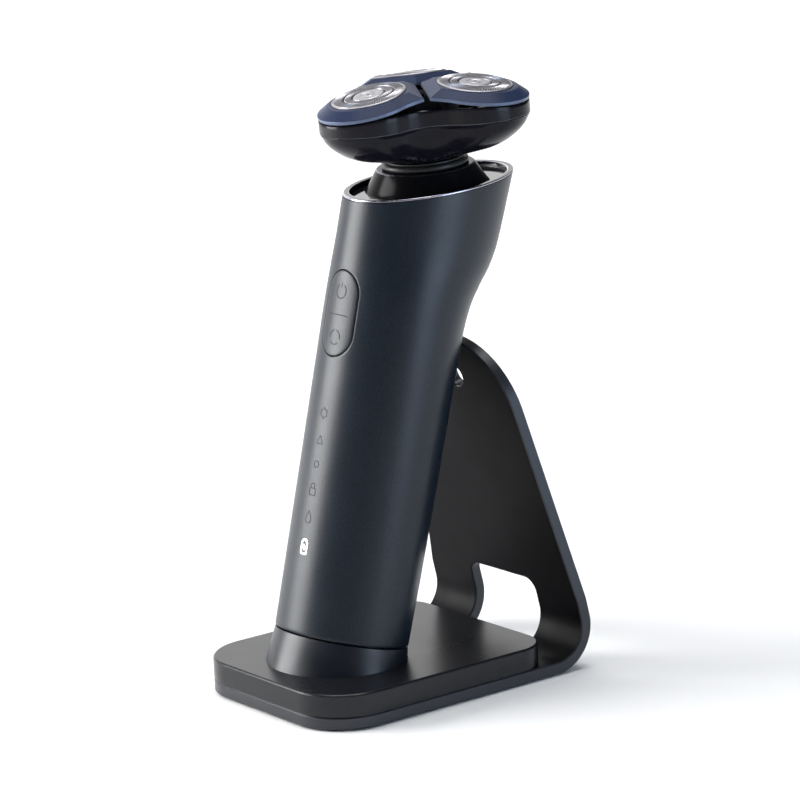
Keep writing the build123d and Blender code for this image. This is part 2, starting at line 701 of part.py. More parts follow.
def spindle():
    """The link from a planet gear up to its cutter, with a rounded drive end."""
    end = -7.8
    stem = rod(1.0, end, 2.6) + rod(1.4, 0.9, 2.6)
    return stem + Pos(0, 0, end + 0.2) * Sphere(1.5)


# ---------------------------------------------------------------- assembly

STAND_NODES = {
    "support_plate": support_plate,
    "foot_pad": foot_pad,
    "base_screws": base_screws,
    "base_block": base_block,
    "ballast_plate": ballast_plate,
    "dock_board": dock_board,
    "usb_inlet": usb_inlet,
    "dock_plinth": dock_plinth,
    "charge_pins": charge_pins,
    "pin_springs": pin_springs,
}
HANDLE_NODES = {
    "handle_sleeve": handle_sleeve,
    "rim_trim": rim_trim,
    "neck_pedestal": neck_pedestal,
    "button_key": button_key,
    "bottom_cap": bottom_cap,
    "bottom_seal": bottom_seal,
    "contact_pads": contact_pads,
    "chassis": chassis,
    "battery_cell": battery_cell,
    "battery_tabs": battery_tabs,
    "main_board": main_board,
    "board_screws": board_screws,
    "tact_switches": tact_switches,
    "status_leds": status_leds,
    "light_guide": light_guide,
    "motor_holder": motor_holder,
}
NECK_NODES = {
    "motor_can": motor_can,
    "motor_bushes": motor_bushes,
    "motor_magnets": motor_magnets,
    "armature": armature,
    "commutator": commutator,
    "drive_shaft": drive_shaft,
    "drive_coupler": drive_coupler,
    "neck_collar": neck_collar,
    "neck_bellows": neck_bellows,
    "swivel_post": swivel_post,
    "tilt_pins_x": tilt_pins_x,
}
HEAD_NODES = {
    "gimbal_ring": gimbal_ring,
    "tilt_pins_y": tilt_pins_y,
    "head_bowl": head_bowl,
    "gear_carrier": gear_carrier,
    "sun_gear": sun_gear,
    "cutter_frame": cutter_frame,
}
PETAL_NODES = {
    "petal": petal,
    "foil_cap": foil_cap,
    "cutter": cutter,
    "spindle": spindle,
}


def write(name, shape):
    """Writes one node's solids."""
    export_step(shape, f"parts/{name}.step")


def main():
    os.makedirs("parts", exist_ok=True)
    places = [(STAND_NODES, Location()), (HANDLE_NODES, HANDLE), (NECK_NODES, NECK), (HEAD_NODES, HEAD)]
    for nodes, place in places:
        for name, make in nodes.items():
            write(name, place * make())
    for number, angle in enumerate(LOBE_ANGLES, start=1):
        write(f"planet_gear_{number}", HEAD * planet_gear(angle))
        for name, make in PETAL_NODES.items():
            write(f"{name}_{number}", HEAD * petal_place(angle) * make())


main()
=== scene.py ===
import json
from math import asin, atan2, cos, exp, hypot, pi, radians, sin, sqrt, tan

import bpy
import bmesh
from mathutils import Matrix, Vector


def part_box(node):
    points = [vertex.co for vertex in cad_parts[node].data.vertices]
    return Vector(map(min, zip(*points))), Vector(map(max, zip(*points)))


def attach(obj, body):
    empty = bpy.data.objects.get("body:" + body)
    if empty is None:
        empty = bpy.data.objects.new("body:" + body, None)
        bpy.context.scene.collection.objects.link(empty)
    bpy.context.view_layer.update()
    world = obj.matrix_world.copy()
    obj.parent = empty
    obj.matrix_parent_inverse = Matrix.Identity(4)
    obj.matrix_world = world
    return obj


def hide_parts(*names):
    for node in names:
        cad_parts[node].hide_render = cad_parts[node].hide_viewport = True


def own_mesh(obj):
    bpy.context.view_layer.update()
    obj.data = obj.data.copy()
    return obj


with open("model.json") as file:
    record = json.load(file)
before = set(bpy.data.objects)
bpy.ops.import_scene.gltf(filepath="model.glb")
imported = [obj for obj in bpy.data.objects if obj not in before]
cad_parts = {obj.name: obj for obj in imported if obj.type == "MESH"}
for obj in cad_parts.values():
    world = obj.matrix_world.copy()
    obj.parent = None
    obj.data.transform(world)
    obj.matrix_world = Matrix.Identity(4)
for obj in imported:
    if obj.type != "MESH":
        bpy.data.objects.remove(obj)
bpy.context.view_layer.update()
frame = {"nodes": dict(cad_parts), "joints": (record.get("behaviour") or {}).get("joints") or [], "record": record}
JOINT = {joint["name"]: joint for joint in frame["joints"]}
LOBES = [-90, 30, 150]

# Sizes in millimetres, as the CAD model has them
HALF_WIDTH = 20.8
FRONT_BOTTOM = -19.2
FRONT_SLOPE = -0.0047
REAR = [(0, 18.7), (40, 20.2), (78, 21.1), (92, 21.5), (100, 22.7),
        (107, 25.4), (113, 28.2), (119, 29.8), (130, 30.9), (152, 32.6)]
WALL = 1.6
RIM_Y, RIM_Z, NECK_LEAN = 5.3, 134.4, 18.2
TRIM = 0.8
BUTTON_Z, BUTTON_R, BUTTON_HALF = 93.1, 7.15, 5.55
BUTTON_GAP, WELL_DEPTH = 0.25, 1.52
PIN_X = 4.0
LOBE_D, LOBE_R, VALLEY_R = 18.7, 14.3, 18.3
FOIL_D, PETAL_UP, PETAL_TILT = 17.34, 6.3, 8.85
PETAL_LIP, PETAL_TOP, PETAL_CHAMFER, PETAL_GAP = 1.0, 3.0, 3.3, 0.75
PETAL_CLEARANCE = 0.4
PEDESTAL_FOOT, PEDESTAL_R, PEDESTAL_TOP, RECESS = 18.1, 14.3, 4.7, 1.6
BASE_W, BASE_L, FRONT_R, REAR_R = 69.2, 81.2, 16.5, 11.0
FOOT, SHEET, BLOCK = 0.4, 3.6, 6.8
BLOCK_LOW, BLOCK_TOP = FOOT + SHEET, FOOT + SHEET + BLOCK
BEND_START, BEND_R, PLATE_TURN = 42.4, 11.3, 102.9
PLATE_LENGTH, TAPER_START, TOP_R, HOLE_R, HOLE_UP = 85.0, 5.2, 25.0, 3.1, 72.6
WINDOW_HALF, WINDOW_LOW, WINDOW_TOP, WINDOW_R = 15.1, 41.6, 8.5, 4.0
FLARE = 0.13
FLAT_END = BEND_START + BASE_L / 2
BEND_END = FLAT_END + radians(PLATE_TURN) * BEND_R


# ---------------------------------------------------------------- places

def place_at(origin, up, along):
    """Matrix from millimetres in a local frame, with z along up and x towards along."""
    up = Vector(up).normalized()
    side = Vector(along)
    side = (side - up * side.dot(up)).normalized()
    turn = Matrix((side, up.cross(side), up)).transposed().to_4x4()
    return Matrix.Translation(Vector(origin)) @ turn @ Matrix.Scale(0.001, 4)


def petal_at(number):
    """The frame of one petal, with x outward and z along its cutter's axis."""
    joint = JOINT[f"blade_{number}_spin"]
    tangent = Vector(JOINT[f"petal_{number}_tilt"]["axis"])
    return place_at(joint["pos_m"], joint["axis"], tangent.cross(Vector(joint["axis"])))


STAND = Matrix.Scale(0.001, 4)
NECK = place_at(JOINT["motor_spin"]["pos_m"], JOINT["motor_spin"]["axis"], (1, 0, 0))
HEAD = place_at(JOINT["sun_spin"]["pos_m"], JOINT["sun_spin"]["axis"], (1, 0, 0))
HANDLE = (place_at(JOINT["motor_spin"]["pos_m"], JOINT["lift_off"]["axis"], (1, 0, 0))
          @ Matrix.Translation((0, -RIM_Y, -RIM_Z)))
PETALS = [petal_at(number) for number in (1, 2, 3)]


# ---------------------------------------------------------------- materials

CLOUD_SCALE, GRAIN_SCALE, METAL_SCALE, GLOW_SCALE = 90.0, 2500.0, 1200.0, 700.0
BUMP_HEIGHT = 0.00002


def fill(node, values):
    """Sets some inputs of a node."""
    for name, value in values.items():
        node.inputs[name].default_value = value
    return node


class Paint:
    """A new material, and the few nodes that the finishes are made of."""

    def __init__(self, name):
        self.material = bpy.data.materials.new(name)
        self.material.use_nodes = True
        self.nodes = self.material.node_tree.nodes
        self.links = self.material.node_tree.links
        self.shader = self.nodes["Principled BSDF"]
        self.place = self.nodes.new("ShaderNodeTexCoord").outputs["Object"]

    def noise(self, vector, scale, detail=2.0):
        """A noise texture's value over a vector."""
        texture = fill(self.nodes.new("ShaderNodeTexNoise"), {"Scale": scale, "Detail": detail})
        self.links.new(vector, texture.inputs["Vector"])
        return texture.outputs["Fac"]

    def remap(self, value, source, target):
        """A value moved from one range to another."""
        ends = {"From Min": source[0], "From Max": source[1], "To Min": target[0], "To Max": target[1]}
        ramp = fill(self.nodes.new("ShaderNodeMapRange"), ends)
        self.links.new(value, ramp.inputs["Value"])
        return ramp.outputs["Result"]

    def mix(self, share, one, other):
        """A colour between two."""
        blend = self.nodes.new("ShaderNodeMix")
        blend.data_type = "RGBA"
        fill(blend, {"A": (*one, 1), "B": (*other, 1)})
        self.links.new(share, blend.inputs["Factor"])
        return blend.outputs["Result"]

    def bump(self, height, strength):
        """A normal roughened by a value."""
        bump = fill(self.nodes.new("ShaderNodeBump"), {"Strength": strength, "Distance": BUMP_HEIGHT})
        self.links.new(height, bump.inputs["Height"])
        return bump.outputs["Normal"]

    def drive(self, **outputs):
        """Links outputs to the shader's inputs. An underscore in a name is a space."""
        for name, output in outputs.items():
            self.links.new(output, self.shader.inputs[name.replace("_", " ")])


def coating(name, color, roughness, metallic=0.0, spread=0.05, grain=0.0, grain_scale=GRAIN_SCALE,
            tint=None, specular=0.5):
    """A satin or glossy finish whose colour and roughness vary a little, with a fine grain."""
    paint = Paint(name)
    cloud = paint.noise(paint.place, CLOUD_SCALE, 3.0)
    fine = paint.noise(paint.place, grain_scale)
    speck = paint.remap(fine, (0.35, 0.65), (0.0, 1.0))
    other = tint or tuple(min(1.0, c * 1.18 + 0.002) for c in color)
    paint.drive(Roughness=paint.remap(cloud, (0.3, 0.7), (roughness - spread, roughness + spread)),
                Base_Color=paint.mix(speck, color, other))
    fill(paint.shader, {"Metallic": metallic, "Specular IOR Level": specular})
    if grain:
        paint.drive(Normal=paint.bump(fine, grain))
    return paint.material


def steel(name, color, roughness, drawn=6.0):
    """Bare metal with a fine grain. drawn says how much finer it is along z than across."""
    paint = Paint(name)
    stretch = fill(paint.nodes.new("ShaderNodeMapping"), {"Scale": (1.0, 1.0, drawn)})
    paint.links.new(paint.place, stretch.inputs["Vector"])
    wave = paint.noise(stretch.outputs["Vector"], METAL_SCALE, 4.0)
    paint.drive(Roughness=paint.remap(wave, (0.3, 0.7), (roughness - 0.07, roughness + 0.1)),
                Base_Color=paint.mix(wave, color, [c * 0.82 for c in color]),
                Normal=paint.bump(wave, 0.12))
    fill(paint.shader, {"Metallic": 1.0})
    return paint.material


def lit(name, color, strength):
    """A mark lit from behind, slightly uneven."""
    paint = Paint(name)
    cloud = paint.noise(paint.place, GLOW_SCALE)
    paint.drive(Emission_Strength=paint.remap(cloud, (0.0, 1.0), (strength * 0.8, strength * 1.2)))
    fill(paint.shader, {"Emission Color": (*color, 1), "Base Color": (*color, 1)})
    return paint.material


COATINGS = {
    "plate_coat": dict(color=(0.005, 0.005, 0.006), roughness=0.4, grain=0.18, specular=0.05),
    "block_plastic": dict(color=(0.006, 0.0065, 0.009), roughness=0.28, spread=0.01, grain=0.12,
                          specular=0.33),
    "plinth_plastic": dict(color=(0.006, 0.008, 0.013), roughness=0.34, grain=0.12, specular=0.4),
    "pad_rubber": dict(color=(0.012, 0.012, 0.012), roughness=0.8, grain=0.4),
    "sleeve_coat": dict(color=(0.003, 0.006, 0.011), tint=(0.009, 0.016, 0.026), roughness=0.35, spread=0.02,
                        grain=0.8, grain_scale=3000.0, specular=0.34),
    "gloss_black": dict(color=(0.003, 0.003, 0.004), roughness=0.2, spread=0.015, specular=0.05),
    "key_plastic": dict(color=(0.005, 0.009, 0.014), tint=(0.010, 0.015, 0.025), roughness=0.36, spread=0.02,
                        grain=0.8, grain_scale=3000.0, specular=0.36),
    "inner_plastic": dict(color=(0.03, 0.03, 0.034), roughness=0.45, grain=0.2),
    "neck_rubber": dict(color=(0.014, 0.014, 0.014), roughness=0.38, grain=0.12, specular=0.3),
    "head_shell": dict(color=(0.004, 0.004, 0.007), roughness=0.18, spread=0.015, specular=0.12),
    "band_gloss": dict(color=(0.004, 0.004, 0.007), roughness=0.17, spread=0.02, specular=0.14),
    "petal_coat": dict(color=(0.019, 0.027, 0.060), roughness=0.34, spread=0.02, grain=0.12, specular=0.07),
    "board": dict(color=(0.01, 0.09, 0.035), roughness=0.35),
    "cell_wrap": dict(color=(0.04, 0.12, 0.33), roughness=0.3),
    "lamp": dict(color=(0.8, 0.8, 0.78), roughness=0.2),
    "gear_plastic": dict(color=(0.012, 0.012, 0.013), roughness=0.4),
    "iron": dict(color=(0.10, 0.10, 0.105), metallic=0.6, roughness=0.6, grain=0.5),
    # These finish a mark or some faces of a piece, and aren't slots of the record
    "mark_dim": dict(color=(0.020, 0.022, 0.030), roughness=0.6, specular=0.1),
    # A darker metal for the foil's slot floors: painted shade in the slots
    "slot_painted_shade": dict(color=(0.06, 0.06, 0.065), metallic=0.6, roughness=0.45),
    "sheet_edge": dict(color=(0.020, 0.022, 0.028), metallic=0.2, roughness=0.34, grain=0.12),
    # A lighter copy of the petal coat for the petals' lips: a painted highlight for the light the lips catch
    "lip_painted_highlight": dict(color=(0.075, 0.10, 0.165), metallic=0.3, roughness=0.3, spread=0.02, grain=0.1),
    "rim_gloss": dict(color=(0.003, 0.003, 0.004), roughness=0.12, spread=0.02, specular=0.3),
    "recess_gloss": dict(color=(0.01, 0.01, 0.012), roughness=0.06, spread=0.01, specular=0.8),
}
STEELS = {
    "rim_chrome": dict(color=(0.50, 0.49, 0.58), roughness=0.2),
    "foil_steel": dict(color=(0.44, 0.43, 0.455), roughness=0.42, drawn=1.0),
    "blade_steel": dict(color=(0.60, 0.60, 0.62), roughness=0.22),
    "steel": dict(color=(0.55, 0.55, 0.57), roughness=0.3),
    "contact_gold": dict(color=(0.83, 0.62, 0.28), roughness=0.22),
    "copper": dict(color=(0.70, 0.36, 0.20), roughness=0.3),
    # A lighter metal for the band's lower seam, and a painted highlight along the pedestal's top edge
    "seam_and_edge_highlight": dict(color=(0.16, 0.165, 0.20), roughness=0.3),
}
MAT = {name: coating(name, **look) for name, look in COATINGS.items()}
MAT.update({name: steel(name, **look) for name, look in STEELS.items()})
MAT["mark_lit"] = lit("mark_lit", (1.0, 1.0, 1.0), 2.6)


# ---------------------------------------------------------------- meshes

def add_object(name, data):
    """A new object of the scene."""
    thing = bpy.data.objects.new(name, data)
    bpy.context.scene.collection.objects.link(thing)
    return thing


def placed_mesh(name, shape, place, merge=0.0):
    """A mesh of millimetre points, placed in the world, with its faces turned outward."""
    points, faces = shape
    data = bpy.data.meshes.new(name)
    data.from_pydata([place @ Vector(p) for p in points], [], faces)
    work = bmesh.new()
    work.from_mesh(data)
    if merge:
        bmesh.ops.remove_doubles(work, verts=work.verts, dist=merge)
    bmesh.ops.recalc_face_normals(work, faces=work.faces)
    work.to_mesh(data)
    work.free()
    return data


def piece(name, shape, place, body, nodes, slot, finish=None, angle=32, more=()):
    """A closed shape, placed, smoothed, finished and tied to its body. more names finishes for some faces."""
    data = placed_mesh(name, shape, place, merge=1e-7)
    for look in (finish or slot, *more):
        data.materials.append(MAT[look])
    data.shade_smooth()
    data.set_sharp_from_angle(angle=radians(angle))
    thing = add_object(name, data)
    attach(thing, body)
    if nodes:
        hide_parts(*nodes)
    return thing


def cut_out(thing, shape, place):
    """Takes a closed shape out of a piece."""
    tool = add_object("cutter", placed_mesh("cutter", shape, place))
    cut = thing.modifiers.new("cut", "BOOLEAN")
    cut.operation = "DIFFERENCE"
    cut.solver = "EXACT"
    cut.object = tool
    shown = thing.evaluated_get(bpy.context.evaluated_depsgraph_get())
    thing.data = bpy.data.meshes.new_from_object(shown)
    thing.modifiers.clear()
    bpy.data.objects.remove(tool)


def between_rings(low, high, count):
    """Faces between two closed rings, named by the numbers of their first points."""
    return [(low + i, low + (i + 1) % count, high + (i + 1) % count, high + i) for i in range(count)]


def skin(rings, base=0, first=False, last=False, loop=False):
    """Points and faces of closed rings of equal count. first and last close the ends with one face."""
    count = len(rings[0])
    starts = [base + row * count for row in range(len(rings))]
    faces = []
    for low, high in zip(starts, starts[1:]):
        faces += between_rings(low, high, count)
    if loop:
        faces += between_rings(starts[-1], base, count)
    if first:
        faces.append(tuple(base + col for col in range(count)))
    if last:
        faces.append(tuple(starts[-1] + col for col in range(count)))
    return [p for ring in rings for p in ring], faces


def paint_faces(thing, count, rows, index=1):
    """Gives the faces of some ring rows another of the piece's finishes."""
    for face in thing.data.polygons:
        if face.index // count in rows:
            face.material_index = index


def round_ring(radius, z, count, start=0.0):
    """A circle of points at a height."""
    turns = [start + 2 * pi * i / count for i in range(count)]
    return [(radius * cos(a), radius * sin(a), z) for a in turns]


def turned(profile, count=96):
    """Rings of a turned shape from (radius, height) pairs."""
    return [round_ring(radius, z, count) for radius, z in profile]


def smooth_between(table, x):
    """A monotone cubic through a table of pairs, level before its start."""
    if x <= table[0][0]:
        return table[0][1]
    for k in range(len(table) - 1):
        x0, y0 = table[k]
        x1, y1 = table[k + 1]
        if (x - x0) * (x - x1) <= 0 or k == len(table) - 2:
            h = x1 - x0
            d = (y1 - y0) / h
            before = d if k == 0 else (y0 - table[k - 1][1]) / (x0 - table[k - 1][0])
            after = d if k == len(table) - 2 else (table[k + 2][1] - y1) / (table[k + 2][0] - x1)
            m0 = 0 if before * d <= 0 else 2 * before * d / (before + d)
            m1 = 0 if after * d <= 0 else 2 * after * d / (after + d)
            t = (x - x0) / h
            return ((2 * t ** 3 - 3 * t ** 2 + 1) * y0 + (t ** 3 - 2 * t ** 2 + t) * h * m0
                    + (-2 * t ** 3 + 3 * t ** 2) * y1 + (t ** 3 - t ** 2) * h * m1)


# ---------------------------------------------------------------- handle

def on_sleeve(turn, z, inward=0.0):
    """A point of the handle's outer surface, or of one inside it."""
    front = FRONT_BOTTOM + FRONT_SLOPE * z + inward
    rear = smooth_between(REAR, z) - inward
    return Vector(((HALF_WIDTH - inward) * cos(turn), (front + rear) / 2 + (rear - front) / 2 * sin(turn), z))


def front_point(x, z, inward=0.0):
    """A point of the front, named by its x and its height."""
    return on_sleeve(-pi / 2 + asin(x / HALF_WIDTH), z, inward)


def rim_height(turn, down=0.0, inward=0.0):
    """Where the rim's plane, or one lower, meets a vertical line of the handle."""
    z = RIM_Z
    slope = tan(radians(NECK_LEAN))
    rounds = 8
    for _ in range(rounds):
        y = on_sleeve(turn, z, inward).y
        z = RIM_Z + slope * (y - RIM_Y) - down / cos(radians(NECK_LEAN))
    return z


# The mesh has a finer patch round the button, with columns and rows of its own
PATCH_X, PATCH_LOW, PATCH_HIGH = 10.4, 77.0, 109.0
PATCH_ROWS = [PATCH_LOW + (PATCH_HIGH - PATCH_LOW) * i / 32 for i in range(33)]
PATCH_COLS, OTHER_COLS = 30, 130
SPAN = asin(PATCH_X / HALF_WIDTH)
COLS = ([-pi / 2 - SPAN + 2 * SPAN * i / PATCH_COLS for i in range(PATCH_COLS)]
        + [-pi / 2 + SPAN + (2 * pi - 2 * SPAN) * i / OTHER_COLS for i in range(OTHER_COLS)])


def pill(x, z, radius):
    """The pill outline's point towards (x, z)."""
    middle = min(max(z, BUTTON_Z - BUTTON_HALF), BUTTON_Z + BUTTON_HALF)
    length = hypot(x, z - middle)
    return x / length * radius, middle + (z - middle) / length * radius


def patch_edge():
    """The patch's outline, as x and height pairs."""
    xs = [HALF_WIDTH * sin(COLS[i] + pi / 2) for i in range(PATCH_COLS)] + [HALF_WIDTH * sin(SPAN)]
    edge = [(x, PATCH_LOW) for x in xs]
    edge += [(xs[-1], z) for z in PATCH_ROWS[1:]]
    edge += [(x, PATCH_HIGH) for x in reversed(xs[:-1])]
    edge += [(xs[0], z) for z in reversed(PATCH_ROWS[1:-1])]
    return edge


def pill_ring(edge, radius, depth):
    """A pill-shaped ring on the front, with a point for every point of the patch's outline."""
    return [front_point(*pill(x, z, radius), depth) for x, z in edge]


def make_sleeve():
    """The handle's thin shell, open at both ends, with the button's well in its front."""
    low_rows = [0.0, 0.12, 0.35, 1.0] + [3.0 + (PATCH_LOW - 3.0) * i / 20 for i in range(20)]
    top_steps = 22
    heights = []
    for turn in COLS:
        rise = (rim_height(turn, TRIM) - PATCH_HIGH) / top_steps
        heights.append(low_rows + PATCH_ROWS + [PATCH_HIGH + rise * i for i in range(1, top_steps + 1)])
    count = len(COLS)
    total = len(heights[0])
    end_insets = {0: 0.3, 1: 0.1}

    def sleeve_ring(row, inset):
        return [on_sleeve(turn, heights[col][row], inset) for col, turn in enumerate(COLS)]

    points = []
    for row in range(total):
        points += sleeve_ring(row, end_insets.get(row, 0.0))
    first = len(low_rows)
    last = first + len(PATCH_ROWS) - 1
    faces = []
    for row in range(total - 1):
        hole = PATCH_COLS if first <= row < last else 0
        faces += between_rings(row * count, (row + 1) * count, count)[hole:]
    # The button's hole: rings from the patch's outline to the pill, then down the wall to a closed floor
    edge = patch_edge()
    rings = []
    for share in (1.0, 0.8, 0.6, 0.4, 0.22, 0.1):
        ring = []
        for x, z in edge:
            px, pz = pill(x, z, BUTTON_R + 0.1)
            ring.append(front_point(px + (x - px) * share, pz + (z - pz) * share))
        rings.append(ring)
    for radius, depth in ((0.1, 0.0), (0.03, 0.03), (0.0, 0.1), (0.0, 0.8), (0.0, WELL_DEPTH)):
        rings.append(pill_ring(edge, BUTTON_R + radius, depth))
    rings += [pill_ring(edge, radius, WELL_DEPTH) for radius in (4.5, 2.0, 0.0)]
    well_points, well_faces = skin(rings, base=len(points))
    points += well_points
    faces += well_faces
    # The inside wall, closed to the outer one at both ends
    inner = [sleeve_ring(row, WALL) for row in range(0, total - 1, 6)]
    inner.append([on_sleeve(turn, rim_height(turn, TRIM, WALL), WALL) for turn in COLS])
    base = len(points)
    inner_points, inner_faces = skin(inner, base=base)
    points += inner_points
    faces += inner_faces
    faces += between_rings((total - 1) * count, base + (len(inner) - 1) * count, count)
    faces += between_rings(0, base, count)
    piece("sleeve", (points, faces), HANDLE, "handle", ["handle_sleeve"], "sleeve_coat", angle=28)


SECTION_COUNT = 160


def rim_ring(inward, down):
    """A ring of the handle's section cut by a plane parallel to the rim."""
    turns = [-pi / 2 + 2 * pi * i / SECTION_COUNT for i in range(SECTION_COUNT)]
    return [on_sleeve(t, rim_height(t, down, inward), inward) for t in turns]


def make_trim():
    """The ring on the sleeve's end: a polished edge over a fine groove, glossy on top."""
    steps = [(0.32, TRIM), (0.32, 0.54), (0.02, 0.52), (0.0, 0.46), (0.0, 0.28), (0.08, 0.12), (0.24, 0.0),
             (0.34, 0.0), (1.0, 0.0), (1.52, 0.0), (1.7, 0.04), (1.82, 0.16), (1.9, 0.4), (1.9, TRIM)]
    shape = skin([rim_ring(inward, down) for inward, down in steps], loop=True)
    ring = piece("rim_trim_ring", shape, HANDLE, "handle", ["rim_trim"], "rim_chrome", angle=40,
                 more=["rim_gloss"])
    paint_faces(ring, SECTION_COUNT, {0, 1, 7, 8, 11, 12, 13})


def make_pedestal():
    """The recess floor inside the rim and the flared glossy cone up to the neck."""
    to_neck = Matrix.Rotation(-radians(NECK_LEAN), 4, "X") @ Matrix.Translation((0, -RIM_Y, -RIM_Z))
    thick = 1.6

    def wall(down):
        return [to_neck @ Vector(p) for p in rim_ring(WALL + 0.1, down)]

    profile = [(PEDESTAL_FOOT + 0.1, -RECESS), (PEDESTAL_FOOT - 0.05, -RECESS + 0.1)]
    for share in (0.2, 0.4, 0.6, 0.8):
        profile.append((PEDESTAL_FOOT + (PEDESTAL_R - PEDESTAL_FOOT) * share,
                        -RECESS + (PEDESTAL_TOP + RECESS) * share))
    profile += [(PEDESTAL_R + 0.2, 4.36), (PEDESTAL_R + 0.08, 4.52), (PEDESTAL_R - 0.2, PEDESTAL_TOP),
                (12.2, PEDESTAL_TOP), (9.0, PEDESTAL_TOP), (9.0, 2.9), (12.5, 2.9),
                (16.3, -RECESS - 0.2), (16.3, -RECESS - thick)]
    cone = [round_ring(radius, z, SECTION_COUNT, -pi / 2) for radius, z in profile]
    shape = skin([wall(RECESS)] + cone + [wall(RECESS + thick)], loop=True)
    pedestal = piece("pedestal", shape, NECK, "handle", ["neck_pedestal"], "gloss_black", angle=30,
                     more=["recess_gloss", "seam_and_edge_highlight"])
    paint_faces(pedestal, SECTION_COUNT, {0}, 1)
    # The pedestal's rounded top edge gets the lighter metal as a painted highlight
    paint_faces(pedestal, SECTION_COUNT, {7, 8}, 2)


def make_button():
    """The rocker, with an edge rounded over all round."""
    reach = BUTTON_R - BUTTON_GAP
    under, front = 1.05, -0.12
    profile = [(radius, under) for radius in (0.0, 1.5, 3.0, 4.5, 6.0, reach)]
    profile += [(reach, 0.25), (reach - 0.04, 0.08), (reach - 0.14, -0.03), (reach - 0.3, -0.09)]
    profile += [(radius, front) for radius in (reach - 0.55, reach - 1.5, reach - 3.0, reach - 5.0, 0.0)]
    edge = patch_edge()
    shape = skin([pill_ring(edge, radius, depth) for radius, depth in profile])
    piece("button", shape, HANDLE, "button", ["button_key"], "key_plastic", angle=30)


def make_springs():
    """The coil springs under the charge pins, at one fixed length."""
    low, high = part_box("pin_springs")
    middle = HANDLE.inverted() @ ((Vector(low) + Vector(high)) / 2)
    foot, top, wire, coil = -6.1, -3.0, 0.17, 1.1
    steps, turns, sides = 200, 5, 8
    points, faces = [], []
    for side in (-1, 1):
        rings = []
        for i in range(steps + 1):
            a = 2 * pi * turns * i / steps
            z = foot + wire + (top - foot - 2 * wire) * i / steps
            rings.append([(side * PIN_X + (coil + out) * cos(a), middle.y + (coil + out) * sin(a), z + up)
                          for out, up, _ in round_ring(wire, 0, sides)])
        more_points, more_faces = skin(rings, base=len(points), first=True, last=True)
        points += more_points
        faces += more_faces
    coils = piece("spring_coils", (points, faces), HANDLE, "stand", ["pin_springs"], "steel", angle=60)
    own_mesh(coils)


def ribbon(path, width, closed, rise, sink):
    """A thin raised strip along a path of x and height pairs on the handle's front."""
    count = len(path)
    left, right = [], []
    for i, (x, z) in enumerate(path):
        ax, az = path[i - 1] if closed or i else path[i]
        bx, bz = path[(i + 1) % count] if closed or i < count - 1 else path[i]
        length = hypot(bx - ax, bz - az) or 1.0
        nx, nz = -(bz - az) / length * width / 2, (bx - ax) / length * width / 2
        left.append((x + nx, z + nz))
        right.append((x - nx, z - nz))
    rings = []
    for (lx, lz), (rx, rz) in zip(left, right):
        rings.append([front_point(lx, lz, -rise), front_point(rx, rz, -rise),
                      front_point(rx, rz, sink), front_point(lx, lz, sink)])
    return skin(rings, loop=closed, first=not closed, last=not closed)


def arc(x, z, radius, start, stop, steps=20):
    """Points along an arc from one angle to another, in degrees."""
    turns = [radians(start + (stop - start) * i / steps) for i in range(steps + 1)]
    return [(x + radius * cos(a), z + radius * sin(a)) for a in turns]


def polygon(corners, steps=6):
    """A closed path along straight sides."""
    path = []
    for (x0, z0), (x1, z1) in zip(corners, corners[1:] + corners[:1]):
        path += [(x0 + (x1 - x0) * i / steps, z0 + (z1 - z0) * i / steps) for i in range(steps)]
    return path


def make_marks(name, strokes, width, body, slot, finish, rise=0.03, sink=0.05):
    """One piece of thin strips, from pairs of a path and whether it is closed."""
    points, faces = [], []
    for path, closed in strokes:
        more_points, more_faces = ribbon(path, width, closed, rise, sink)
        faces += [tuple(len(points) + i for i in face) for face in more_faces]
        points += more_points
    piece(name, (points, faces), HANDLE, body, [], slot, finish=finish, angle=30)


def make_button_marks():
    """A power sign, a divider and a broken circle on the button."""
    x, power_z, mode_z = 0.3, BUTTON_Z + 6.4, BUTTON_Z - 6.9
    strokes = [arc(x, power_z, 2.05, 118, 422, 40), [(x, power_z + up) for up in (1.0, 1.7, 2.5)],
               [(-3.7 + 7.9 * i / 12, BUTTON_Z - 0.4) for i in range(13)]]
    strokes += [arc(x, mode_z, 2.1, start, start + 90) for start in (100, -10, 225)]
    make_marks("button_marks", [(path, False) for path in strokes], 0.26, "button", "key_plastic", "mark_dim",
               rise=0.15, sink=0.0)


